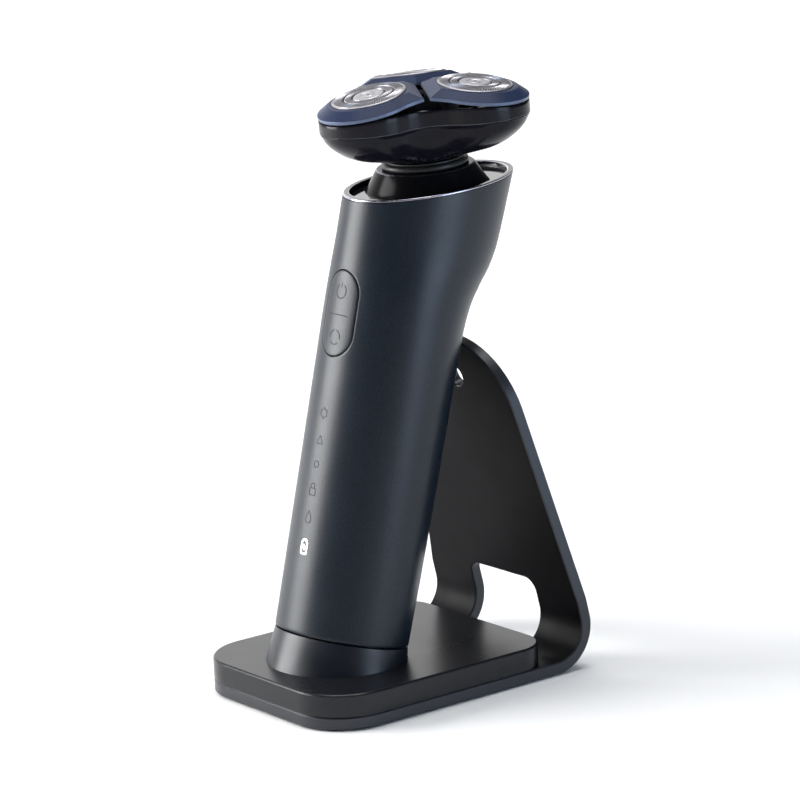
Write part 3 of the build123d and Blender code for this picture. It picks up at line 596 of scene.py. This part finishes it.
def make_status_marks():
    """A gear, a warning sign, a ring, a lock and a drop, all dark, over a lit battery."""
    x = 0.5
    gear_z, ring_z, lock_z, drop_z, battery_z = 64.1, 49.2, 40.2, 33.2, 25.0
    teeth = [(1.65 if i % 2 else 1.1, radians(30 * i)) for i in range(12)]
    gear = polygon([(x + reach * cos(a), gear_z + reach * sin(a)) for reach, a in teeth], 2)
    warning = polygon([(x - 1.35, 55.2), (x + 1.35, 55.2), (x, 57.6)])
    lock_top = lock_z + 2.0
    lock = polygon([(x - 1.3, lock_z), (x + 1.3, lock_z), (x + 1.3, lock_top), (x - 1.3, lock_top)])
    shackle = [(x - 0.8, lock_top)] + arc(x, lock_z + 2.7, 0.8, 180, 0, 10) + [(x + 0.8, lock_top)]
    drop = arc(x, drop_z, 1.2, 150, 390, 20) + [(x + 0.55, 34.7), (x, 35.7), (x - 0.55, 34.7)]
    strokes = [(gear, True), (warning, True), (arc(x, ring_z, 0.95, 0, 345, 23), True), (lock, True),
               (shackle, False), (drop, True)]
    make_marks("status_marks", strokes, 0.24, "handle", "lamp", "mark_dim")
    case = [(-1.15, -1.9), (1.15, -1.9), (1.15, 1.3), (0.5, 2.2), (-0.5, 2.2), (-1.15, 1.3)]
    bolt = [(-0.35, 0.75), (0.05, 0.2), (-0.1, -0.2), (0.3, -0.8)]
    battery = [(polygon([(x + dx, battery_z + dz) for dx, dz in case]), True),
               ([(x + dx, battery_z + dz) for dx, dz in bolt], False)]
    make_marks("battery_mark", battery, 0.5, "handle", "lamp", "mark_lit")


# ---------------------------------------------------------------- head

def side_radius(lobe_d, lobe_r, valley_r):
    """Radius of the outline's hollow side arcs, which touch two lobes each."""
    slack = 2 * valley_r - lobe_d - 2 * lobe_r
    return (lobe_r ** 2 - valley_r ** 2 - lobe_d ** 2 + valley_r * lobe_d) / slack


def outline_radius(angle, lobe_d, lobe_r, valley_r):
    """Distance of the three-lobed outline at an angle in degrees, with a lobe at each of LOBES."""
    side = side_radius(lobe_d, lobe_r, valley_r)
    reach = valley_r + side
    tx, ty = reach * cos(pi / 3) - lobe_d, reach * sin(pi / 3)
    length = hypot(tx, ty)
    touch = atan2(lobe_r * ty / length, lobe_d + lobe_r * tx / length)
    off = abs((angle - LOBES[0] + 60) % 120 - 60)
    a = radians(off)
    if a <= touch:
        return lobe_d * cos(a) + sqrt(max(lobe_r ** 2 - (lobe_d * sin(a)) ** 2, 0))
    b = pi / 3 - a
    return reach * cos(b) - sqrt(max(side ** 2 - (reach * sin(b)) ** 2, 0))


def head_ring(radius_of, height_of, count=288):
    """A ring round the head from a radius and a height, both given by the angle."""
    ring = []
    for i in range(count):
        angle = 360 * i / count
        r = radius_of(angle)
        ring.append((r * cos(radians(angle)), r * sin(radians(angle)), height_of(angle)))
    return ring


BOWL = [(0.0, 0.0, VALLEY_R), (-3.0, 0.85, 17.6), (-6.0, 2.45, 16.5), (-8.7, 4.9, 14.9)]
BOWL_LOW, BOWL_FOOT = -11.0, 13.0


# The hollows under the head: widths in degrees, heights and depths in millimetres
SCOOP_HALF, SCOOP_EDGE, SWELL_HALF = 36, 4, 14
SCOOP_LOW, SCOOP_FADE, SCOOP_DEPTH, SWELL = -10.3, 1.2, 1.15, 0.85


def scoop(angle, z):
    """Depth of the shield-shaped hollow under each side, with a swelling down its middle."""
    off = abs((angle - LOBES[0]) % 120 - 60)
    half = SCOOP_HALF * sqrt(max(0.0, 1 - (z / SCOOP_LOW) ** 4))
    share = min(max((half - off) / SCOOP_EDGE, 0.0), 1.0)
    edge = share * share * (3 - 2 * share)
    top = min(max(-z / SCOOP_FADE, 0.0), 1.0)
    return edge * top * (SCOOP_DEPTH - SWELL * exp(-(off / SWELL_HALF) ** 2))


def bowl_radius(angle, z):
    """The bowl's outer surface."""
    table = [(-height, outline_radius(angle, LOBE_D - shrink, LOBE_R - shrink, valley))
             for height, shrink, valley in BOWL]
    return smooth_between(table + [(-BOWL_LOW, BOWL_FOOT)], -z)


def make_bowl():
    """The bowl under the head: a scooped outside, a hole for the neck, and a plain inside."""
    end_insets = {0.0: 0.22, -0.06: 0.1, BOWL_LOW: 0.12}
    heights = [0.0, -0.06, -0.2] + [-0.5 * step for step in range(1, 22)] + [-10.75, -10.9, BOWL_LOW]

    def outside(z):
        inset = end_insets.get(z, 0.0)
        return head_ring(lambda a: bowl_radius(a, z) - scoop(a, z) - inset, lambda a: z)

    rings = [outside(z) for z in heights]
    rings += [head_ring(lambda a: 10.1, lambda a: BOWL_LOW), head_ring(lambda a: 10.0, lambda a: -6.0)]
    for z in (-5.9, -4, -2, 0.0):
        rings.append(head_ring(lambda a, z=z: bowl_radius(a, z) - 1.5, lambda a, z=z: z))
    piece("bowl", skin(rings, loop=True), HEAD, "head", ["head_bowl"], "head_shell", angle=35)


def petal_low(angle, radius):
    """Height of the petals' lower plane over a point of the head."""
    off = radians(abs((angle - LOBES[0] + 60) % 120 - 60))
    out = radius * cos(off)
    return PETAL_UP - (out - FOIL_D) * tan(radians(PETAL_TILT))


def make_band():
    """The glossy band, a skin just proud of the frame's wall, with a bright lower seam."""
    foot, inside = 0.08, 1.72

    def base(a):
        return outline_radius(a, LOBE_D, LOBE_R, VALLEY_R) + 0.06

    def top(a):
        return min(4.73, petal_low(a, base(a)) - PETAL_CLEARANCE + 0.03)

    def ring(inset, height):
        return head_ring(lambda a: base(a) - inset, height)

    rings = [ring(0.2, lambda a: foot), ring(0.05, lambda a: 0.12), ring(0.0, lambda a: 0.2),
             ring(0.0, lambda a: 0.34)]
    for share in (0.25, 0.5, 0.75):
        rings.append(ring(0.0, lambda a, s=share: 0.34 + (top(a) - 0.5) * s))
    rings += [ring(0.0, lambda a: top(a) - 0.15), ring(0.04, lambda a: top(a) - 0.05),
              ring(0.2, top), ring(inside, top), ring(inside, lambda a: foot)]
    band = piece("band", skin(rings, loop=True), HEAD, "frame", [], "band_gloss", angle=35,
                 more=["seam_and_edge_highlight"])
    paint_faces(band, len(rings[0]), {0, 1})


def sector_ring(inset, z, grow=0.21):
    """One petal's outline in its own frame: two straight sides, two side arcs and the lobe's arc."""
    side = side_radius(LOBE_D, LOBE_R, VALLEY_R)
    reach = VALLEY_R + side
    lobe_r = LOBE_R + grow - inset
    side_r = side - grow + inset
    tip = ((PETAL_GAP + inset) / sin(pi / 3), 0.0)
    gap = PETAL_GAP + inset
    along = reach - sqrt(side_r ** 2 - gap ** 2)
    corner = (along * cos(pi / 3) + gap * sin(pi / 3), along * sin(pi / 3) - gap * cos(pi / 3))
    centre = (reach * cos(pi / 3), reach * sin(pi / 3))
    to_side = (centre[0] - LOBE_D, centre[1])
    length = hypot(*to_side)
    touch = (LOBE_D + lobe_r * to_side[0] / length, lobe_r * to_side[1] / length)
    side_steps, lobe_steps = 14, 30
    half = []
    for i in range(side_steps):
        share = i / side_steps
        half.append((tip[0] + (corner[0] - tip[0]) * share, tip[1] + (corner[1] - tip[1]) * share))
    a0 = atan2(corner[1] - centre[1], corner[0] - centre[0])
    a1 = atan2(touch[1] - centre[1], touch[0] - centre[0])
    if a0 > 0:
        a0 -= 2 * pi
    if a1 > 0:
        a1 -= 2 * pi
    for i in range(side_steps):
        a = a0 + (a1 - a0) * i / side_steps
        half.append((centre[0] + side_r * cos(a), centre[1] + side_r * sin(a)))
    b = atan2(touch[1], touch[0] - LOBE_D)
    for i in range(lobe_steps + 1):
        a = b * (1 - i / lobe_steps)
        half.append((LOBE_D + lobe_r * cos(a), lobe_r * sin(a)))
    mirror = [(x, -y) for x, y in reversed(half[1:-1])]
    return [(x - FOIL_D, y, z) for x, y in half + mirror]


def make_petal(number):
    """One cover: an upright lip painted lighter as a painted highlight, crisp facets up to the guard's seat, and
    the bore inside.
    """
    slope = (PETAL_TOP - PETAL_LIP) / PETAL_CHAMFER
    steps = [(0.22, 0.0), (0.0, 0.1), (0.0, 0.5), (0.0, PETAL_LIP - 0.06), (0.03, PETAL_LIP),
             (0.1, PETAL_LIP + 0.06)]
    steps += [(inset, PETAL_LIP + slope * inset) for inset in (0.5, 1.2, 2.0, 2.8, PETAL_CHAMFER - 0.2)]
    steps += [(PETAL_CHAMFER - 0.05, PETAL_TOP - 0.05), (PETAL_CHAMFER + 0.12, PETAL_TOP)]
    rings = [sector_ring(inset, z) for inset, z in steps]
    seat = [(x / hypot(x, y), y / hypot(x, y)) for x, y, _ in rings[-1]]
    for radius, z in ((11.1, PETAL_TOP), (11.0, PETAL_TOP - 0.1), (11.0, 2.4), (10.1, 2.4), (10.1, 0.0)):
        rings.append([(x * radius, y * radius, z) for x, y in seat])
    cover = piece(f"petal_cover_{number}", skin(rings, loop=True), PETALS[number - 1], f"petal_{number}",
                  [f"petal_{number}"], "petal_coat", angle=25, more=["lip_painted_highlight"])
    # The lip's rows get the lighter finish, a painted highlight
    paint_faces(cover, len(rings[0]), {0, 1, 2, 3})


# The guard from its flange to its middle, as radius and height. The slotted tracks have the height of
# the bars, the height of the slots between them, and how far they are turned
FOIL_RIM = [(9.5, 0.4), (9.95, 0.4), (9.95, 3.0), (10.75, 3.0), (10.88, 3.06), (10.9, 3.16), (10.8, 3.26),
            (10.62, 3.32), (10.52, 3.24), (10.4, 3.22), (10.3, 3.3)]
OUTER_TRACK = [(10.2, 3.46, 3.25, 0.0), (9.7, 3.62, 3.05, 0.02), (8.9, 3.68, 3.02, 0.05),
               (8.1, 3.64, 3.05, 0.08), (7.75, 3.5, 3.3, 0.09)]
GROOVE = [(7.6, 3.3), (7.45, 3.08), (7.25, 3.08), (7.1, 3.3)]
INNER_TRACK = [(7.0, 3.5, 3.3, 0.0), (6.6, 3.64, 3.02, 0.03), (5.9, 3.66, 3.0, 0.07),
               (5.3, 3.62, 3.05, 0.1), (5.1, 3.45, 3.3, 0.11)]
FOIL_CENTRE = [(5.0, 3.3), (4.85, 3.08), (4.6, 3.08), (4.45, 3.4), (4.3, 3.52), (3.7, 3.58), (2.5, 3.54),
               (2.35, 3.44), (1.6, 3.42), (1.45, 3.54), (0.4, 3.56), (0.4, 2.9), (9.5, 2.9)]


def make_foil(number):
    """The guard: a rolled flange, two slotted tracks with a groove between them, and a plain cap."""
    slots = 80
    count = slots * 4

    def plain(profile):
        return turned(profile, count)

    def track(profile):
        """Rings that rise over two points and drop over the next two."""
        rings = []
        for radius, bar, slot, swirl in profile:
            flat = round_ring(radius, bar, count, swirl)
            rings.append([(x, y, bar if i % 4 < 2 else slot) for i, (x, y, _) in enumerate(flat)])
        return rings

    rings = plain(FOIL_RIM) + track(OUTER_TRACK) + plain(GROOVE) + track(INNER_TRACK) + plain(FOIL_CENTRE)
    place = PETALS[number - 1]
    foil = piece(f"foil_{number}", skin(rings, loop=True), place, f"petal_{number}", [f"foil_cap_{number}"],
                 "foil_steel", angle=24, more=["slot_painted_shade"])
    # The floors of the slots get the darker metal, painted shade for the slot openings
    inverse = place.inverted()
    for face in foil.data.polygons:
        centre = inverse @ face.center
        if 2.95 < centre.z < 3.2 and 4.5 < hypot(centre.x, centre.y) < 10.1:
            face.material_index = 1


def make_neck():
    """The collar and the bellows over it."""
    low = [(7.2, 1.2), (8.7, 1.2), (8.7, 4.8), (12.3, 4.8), (12.6, 4.92), (12.75, 5.2), (12.75, 5.75),
           (12.6, 6.15), (12.3, 6.42), (11.9, 6.5), (7.2, 6.5)]
    high = [(7.2, 6.5), (11.2, 6.5), (11.45, 6.56), (11.55, 6.75), (11.5, 7.0), (11.3, 7.15), (11.0, 7.2),
            (7.2, 7.2)]
    for name, node, profile in (("collar_ring", "neck_collar", low), ("bellows_ring", "neck_bellows", high)):
        piece(name, skin(turned(profile), loop=True), NECK, "neck", [node], "neck_rubber", angle=40)


# ---------------------------------------------------------------- stand

def plan(inset, z):
    """The base's rounded plan as a ring."""
    steps = 16
    ring = []
    for x_sign, y_sign, corner, start in ((1, 1, REAR_R, 0), (-1, 1, REAR_R, 90),
                                          (-1, -1, FRONT_R, 180), (1, -1, FRONT_R, 270)):
        mx = x_sign * (BASE_W / 2 - corner)
        my = y_sign * (BASE_L / 2 - corner)
        for i in range(steps + 1):
            a = radians(start + 90 * i / steps)
            ring.append((mx + (corner - inset) * cos(a), my + (corner - inset) * sin(a), z))
    return ring


def make_block():
    """The hollow block, with softened edges and an opening for the charging inlet at its rear."""
    inside, top = 2.4, 2.0
    steps = [(0.45, BLOCK_LOW), (0.3, BLOCK_LOW + 0.02), (0.02, BLOCK_LOW + 0.28), (0, BLOCK_LOW + 0.36),
             (0, BLOCK_LOW + 3), (0, BLOCK_TOP - 0.55), (0.05, BLOCK_TOP - 0.47), (0.47, BLOCK_TOP - 0.05),
             (0.55, BLOCK_TOP), (3.0, BLOCK_TOP), (9.0, BLOCK_TOP)]
    points, faces = skin([plan(inset, z) for inset, z in steps], last=True)
    base = len(points)
    under = [plan(inside, BLOCK_LOW), plan(inside, BLOCK_TOP - top)]
    under_points, under_faces = skin(under, base=base, last=True)
    faces += under_faces + between_rings(0, base, len(under[0]))
    shape = (points + under_points, faces)
    block = piece("block", shape, STAND, "stand", ["base_block"], "block_plastic", angle=28)
    port_w, port_l, port_h, port_up = 9.2, 12.0, 3.4, 2.6
    corners = [(x * port_w / 2, BASE_L / 2 + y * port_l / 2) for x, y in ((1, 1), (-1, 1), (-1, -1), (1, -1))]
    port = [[(x, y, BLOCK_LOW + port_up + side * port_h / 2) for x, y in corners] for side in (-1, 1)]
    cut_out(block, skin(port, first=True, last=True), STAND)


def to_sheet(x, s, off):
    """The sheet's point at a distance s along it from its front edge, off its middle plane."""
    mid = FOOT + SHEET / 2
    if s <= FLAT_END:
        return (x, s - BASE_L / 2, mid + off)
    turn = min((s - FLAT_END) / BEND_R, radians(PLATE_TURN))
    more = max(s - BEND_END, 0.0)
    y = BEND_START + (BEND_R - off) * sin(turn) + more * cos(turn)
    z = mid + BEND_R - (BEND_R - off) * cos(turn) + more * sin(turn)
    return (x, y, z)


def sheet_outline(inset):
    """The sheet's unrolled outline, from the middle of its front edge all the way round."""
    half = BASE_W / 2 - inset
    front = FRONT_R - inset
    corner_steps, side_steps, taper_steps, top_steps = 20, 60, 30, 28
    turns = [radians(-90 + 90 * i / corner_steps) for i in range(corner_steps + 1)]
    right = [(half - front + front * cos(a), FRONT_R + front * sin(a)) for a in turns]
    rise = (BEND_END + TAPER_START - FRONT_R) / side_steps
    right += [(half, FRONT_R + rise * i) for i in range(1, side_steps + 1)]
    cy = BEND_END + PLATE_LENGTH - TOP_R
    dx, dy = BASE_W / 2, BEND_END + TAPER_START - cy
    tangent = atan2(dy, dx) + (pi / 2 - asin(TOP_R / hypot(dx, dy)))
    x0, y0 = right[-1]
    radius = TOP_R - inset
    x1, y1 = radius * cos(tangent), cy + radius * sin(tangent)
    shares = [i / taper_steps for i in range(1, taper_steps)]
    right += [(x0 + (x1 - x0) * share, y0 + (y1 - y0) * share) for share in shares]
    turns = [tangent + (pi / 2 - tangent) * i / top_steps for i in range(top_steps + 1)]
    right += [(radius * cos(a), cy + radius * sin(a)) for a in turns]
    return right + [(-x, s) for x, s in reversed(right[1:-1])]


def window_outline(grow):
    """The rounded window across the bend."""
    low = WINDOW_LOW + BASE_L / 2
    high = BEND_END + WINDOW_TOP
    radius = WINDOW_R + grow
    ring = []
    for side, middle, start in ((1, high - WINDOW_R, 0), (-1, high - WINDOW_R, 90),
                                (-1, low + WINDOW_R, 180), (1, low + WINDOW_R, 270)):
        for a in [radians(start + 90 * i / 8) for i in range(9)]:
            ring.append((side * (WINDOW_HALF - WINDOW_R) + radius * cos(a), middle + radius * sin(a)))
    return ring


def hole_outline(grow):
    """The round hole near the plate's top."""
    return [(x, BEND_END + HOLE_UP + y) for x, y, _ in round_ring(HOLE_R + grow, 0, 40)]


# Where the flat mesh is cut across, so that it can follow the bend
SHEET_ROWS = ([FLAT_END + (BEND_END - FLAT_END) * i / 44 for i in range(45)] + [20, 40, 60]
              + [BEND_END + 10 * i for i in range(1, 8)])


def refine(ring):
    """Adds the rows to a closed outline, so that its walls meet the faces' cuts."""
    out = []
    for (x0, s0), (x1, s1) in zip(ring, ring[1:] + ring[:1]):
        out.append((x0, s0))
        inside = [c for c in SHEET_ROWS if min(s0, s1) + 1e-5 < c < max(s0, s1) - 1e-5]
        for c in sorted(inside, reverse=s1 < s0):
            out.append((x0 + (x1 - x0) * (c - s0) / (s1 - s0), c))
    return out


def make_plate():
    """The bent sheet: both faces cut from the unrolled outline, small chamfers and the walls between."""
    chamfer = 0.35
    half = SHEET / 2
    work = bmesh.new()
    outlines = (sheet_outline, window_outline, hole_outline)
    for side in (1, -1):
        flat = bmesh.new()
        for outline in outlines:
            ring = [flat.verts.new((x, s, 0)) for x, s in outline(chamfer)]
            for a, b in zip(ring, ring[1:] + ring[:1]):
                flat.edges.new((a, b))
        bmesh.ops.triangle_fill(flat, use_beauty=True, use_dissolve=False, edges=flat.edges[:])
        for s in SHEET_ROWS:
            everything = flat.verts[:] + flat.edges[:] + flat.faces[:]
            bmesh.ops.bisect_plane(flat, geom=everything, plane_co=(0, s, 0), plane_no=(0, 1, 0), dist=1e-5)
        bent = {v: work.verts.new(to_sheet(v.co.x, v.co.y, side * half)) for v in flat.verts}
        for face in flat.faces:
            work.faces.new([bent[v] for v in face.verts])
        flat.free()
    for outline in outlines:
        outer, inner = refine(outline(0.0)), refine(outline(chamfer))
        rings = [(inner, half), (outer, half - chamfer), (outer, -half + chamfer), (inner, -half)]
        rows = [[work.verts.new(to_sheet(x, s, off)) for x, s in ring] for ring, off in rings]
        for low, high in zip(rows, rows[1:]):
            for i in range(len(low)):
                j = (i + 1) % len(low)
                work.faces.new((low[i], low[j], high[j], high[i])).material_index = 1
    bmesh.ops.remove_doubles(work, verts=work.verts, dist=0.004)
    bmesh.ops.recalc_face_normals(work, faces=work.faces)
    work.verts.index_update()
    shape = [tuple(v.co) for v in work.verts], [tuple(v.index for v in f.verts) for f in work.faces]
    finishes = [f.material_index for f in work.faces]
    work.free()
    sheet = piece("plate", shape, STAND, "stand", ["support_plate"], "plate_coat", angle=28,
                  more=["sheet_edge"])
    for face, finish in zip(sheet.data.polygons, finishes):
        face.material_index = finish


def make_plinth():
    """The wedge under the handle, flared down to the block's top, with a stepped bore for each charge pin."""
    to_world = STAND.inverted() @ HANDLE
    turns = [-pi / 2 + 2 * pi * i / SECTION_COUNT for i in range(SECTION_COUNT)]
    inset, depth = 0.05, 30

    def section_ring(inward, z):
        return [to_world @ on_sleeve(turn, z, inward) for turn in turns]

    wall = section_ring(inset, -0.75)
    low = section_ring(inset - FLARE * depth, -0.75 - depth)
    rings = [section_ring(2.5, 1.6), section_ring(2.2, 1.4), section_ring(2.2, -0.4),
             section_ring(0.35, -0.4), section_ring(0.12, -0.5), wall]
    for share in (0.3, 0.6, 0.9, 1.0):
        rings.append([a + (b - a) * ((a.z - BLOCK_TOP) / (a.z - b.z) * share) for a, b in zip(wall, low)])
    shape = skin(rings, first=True, last=True)
    plinth = piece("plinth", shape, STAND, "stand", ["dock_plinth"], "plinth_plastic", angle=30)
    profile = [(1.8, -22.0), (1.8, -2.3), (1.0, -2.3), (1.0, 1.4), (1.25, 1.65), (1.25, 3.0)]
    bore = skin(turned(profile, 48), first=True, last=True)
    for side in (-1, 1):
        cut_out(plinth, bore, HANDLE @ Matrix.Translation((side * PIN_X, 0, 0)))


make_sleeve()
make_trim()
make_pedestal()
make_button()
make_springs()
make_button_marks()
make_status_marks()
make_bowl()
make_band()
for number in (1, 2, 3):
    make_petal(number)
    make_foil(number)
make_neck()
make_block()
make_plate()
make_plinth()
for entry in frame["record"]["subparts"]:
    node = frame["nodes"][entry["node"]]
    node.data.materials.clear()
    node.data.materials.append(MAT[entry["material_slot"]])


# ---------------------------------------------------------------- stage, light and camera

WHITE = (1, 1, 1, 1)
PAPER = (0.86, 0.86, 0.86, 1)
CENTRE = Vector((0, 0.01, 0.1))
WORLD_TURN, WORLD_UP = radians(22), radians(9)
CAM_AZ, CAM_EL, CAM_ROLL = radians(52.67), radians(13.1), radians(-2.54)
CAM_AIM, CAM_SHIFT, CAM_DISTANCE, LENS = Vector((0, 0.002, 0.08465)), 0.00995, 1.0566, 164.1
BACK = Vector((sin(CAM_AZ) * cos(CAM_EL), -cos(CAM_AZ) * cos(CAM_EL), sin(CAM_EL)))
LEVEL = Vector((cos(CAM_AZ), sin(CAM_AZ), 0))
FLAT_BACK = Vector((BACK.x, BACK.y, 0)).normalized()


def make_floor():
    """White paper that takes a soft shadow near the shaver and glows more and more away from it."""
    half = 6
    corners = [(-half, -half, 0), (half, -half, 0), (half, half, 0), (-half, half, 0)]
    data = bpy.data.meshes.new("floor")
    data.from_pydata(corners, [], [(0, 1, 2, 3)])
    floor = add_object("floor", data)
    paint = Paint("floor_paint")
    fill(paint.shader, {"Base Color": PAPER, "Roughness": 0.8, "Specular IOR Level": 0.1,
                        "Emission Color": WHITE})
    length = paint.nodes.new("ShaderNodeVectorMath")
    length.operation = "LENGTH"
    paint.links.new(paint.place, length.inputs[0])
    paint.drive(Emission_Strength=paint.remap(length.outputs["Value"], (0.2, 1.6), (0.0, 1.0)))
    data.materials.append(paint.material)


def make_backdrop():
    """A round white wall far behind everything, which lights nothing and isn't reflected."""
    count, radius, low, high = 96, 4.5, -0.5, 5.0
    data = bpy.data.meshes.new("backdrop")
    data.from_pydata(round_ring(radius, low, count) + round_ring(radius, high, count), [],
                     between_rings(0, count, count))
    wall = add_object("backdrop", data)
    paint = Paint("backdrop_paint")
    fill(paint.shader, {"Base Color": PAPER, "Emission Color": WHITE, "Emission Strength": 1.0})
    data.materials.append(paint.material)
    wall.visible_diffuse = False
    wall.visible_glossy = False
    wall.visible_shadow = False


def softbox(name, side, back, height, size, power, color=(1, 1, 1)):
    """A lamp aimed at the shaver, placed to the camera's right, towards it, and above the floor."""
    spot = CENTRE + LEVEL * side + FLAT_BACK * back + Vector((0, 0, height - CENTRE.z))
    data = bpy.data.lights.new(name, "AREA")
    data.shape = "RECTANGLE"
    data.size, data.size_y = size
    data.energy = power
    data.color = color
    lamp = add_object(name, data)
    lamp.location = spot
    lamp.rotation_mode = "QUATERNION"
    lamp.rotation_quaternion = (spot - CENTRE).to_track_quat("Z", "Y")


def make_world():
    """A dim room with one soft bright side, far behind the stand and to its left."""
    world = bpy.data.worlds.new("studio")
    bpy.context.scene.world = world
    world.use_nodes = True
    nodes, links = world.node_tree.nodes, world.node_tree.links
    place = nodes.new("ShaderNodeTexCoord")
    toward = nodes.new("ShaderNodeVectorMath")
    toward.operation = "DOT_PRODUCT"
    level = (-FLAT_BACK * cos(WORLD_TURN) - LEVEL * sin(WORLD_TURN)) * cos(WORLD_UP)
    toward.inputs[1].default_value = tuple(level + Vector((0, 0, sin(WORLD_UP))))
    links.new(place.outputs["Generated"], toward.inputs[0])
    ends = {"From Min": 0.72, "From Max": 0.95, "To Min": 0.05, "To Max": 1.6}
    ramp = fill(nodes.new("ShaderNodeMapRange"), ends)
    links.new(toward.outputs["Value"], ramp.inputs["Value"])
    background = fill(nodes["Background"], {"Color": WHITE})
    links.new(ramp.outputs["Result"], background.inputs["Strength"])


def make_camera():
    """The camera at the photograph's fitted viewing angle."""
    over = BACK.cross(LEVEL)
    right = LEVEL * cos(CAM_ROLL) + over * sin(CAM_ROLL)
    up = over * cos(CAM_ROLL) - LEVEL * sin(CAM_ROLL)
    data = bpy.data.cameras.new("camera")
    data.lens = LENS
    data.sensor_width = 36.0
    data.clip_start, data.clip_end = 0.05, 50
    cam = add_object("camera", data)
    spot = CAM_AIM + LEVEL * CAM_SHIFT + BACK * CAM_DISTANCE
    cam.matrix_world = Matrix.Translation(spot) @ Matrix((right, up, BACK)).transposed().to_4x4()
    bpy.context.scene.camera = cam


make_floor()
make_backdrop()
make_world()
make_camera()
softbox("left", -1.02, -0.1, 0.40, (0.6, 0.8), 20)
softbox("right", 0.85, 0.6, 0.3, (0.5, 0.6), 5, (0.62, 0.78, 1.0))
softbox("overhead", 0.0, -0.1, 1.3, (1.0, 0.8), 15)

scene = bpy.context.scene
scene.view_settings.view_transform = "Standard"
scene.view_settings.look = "None"
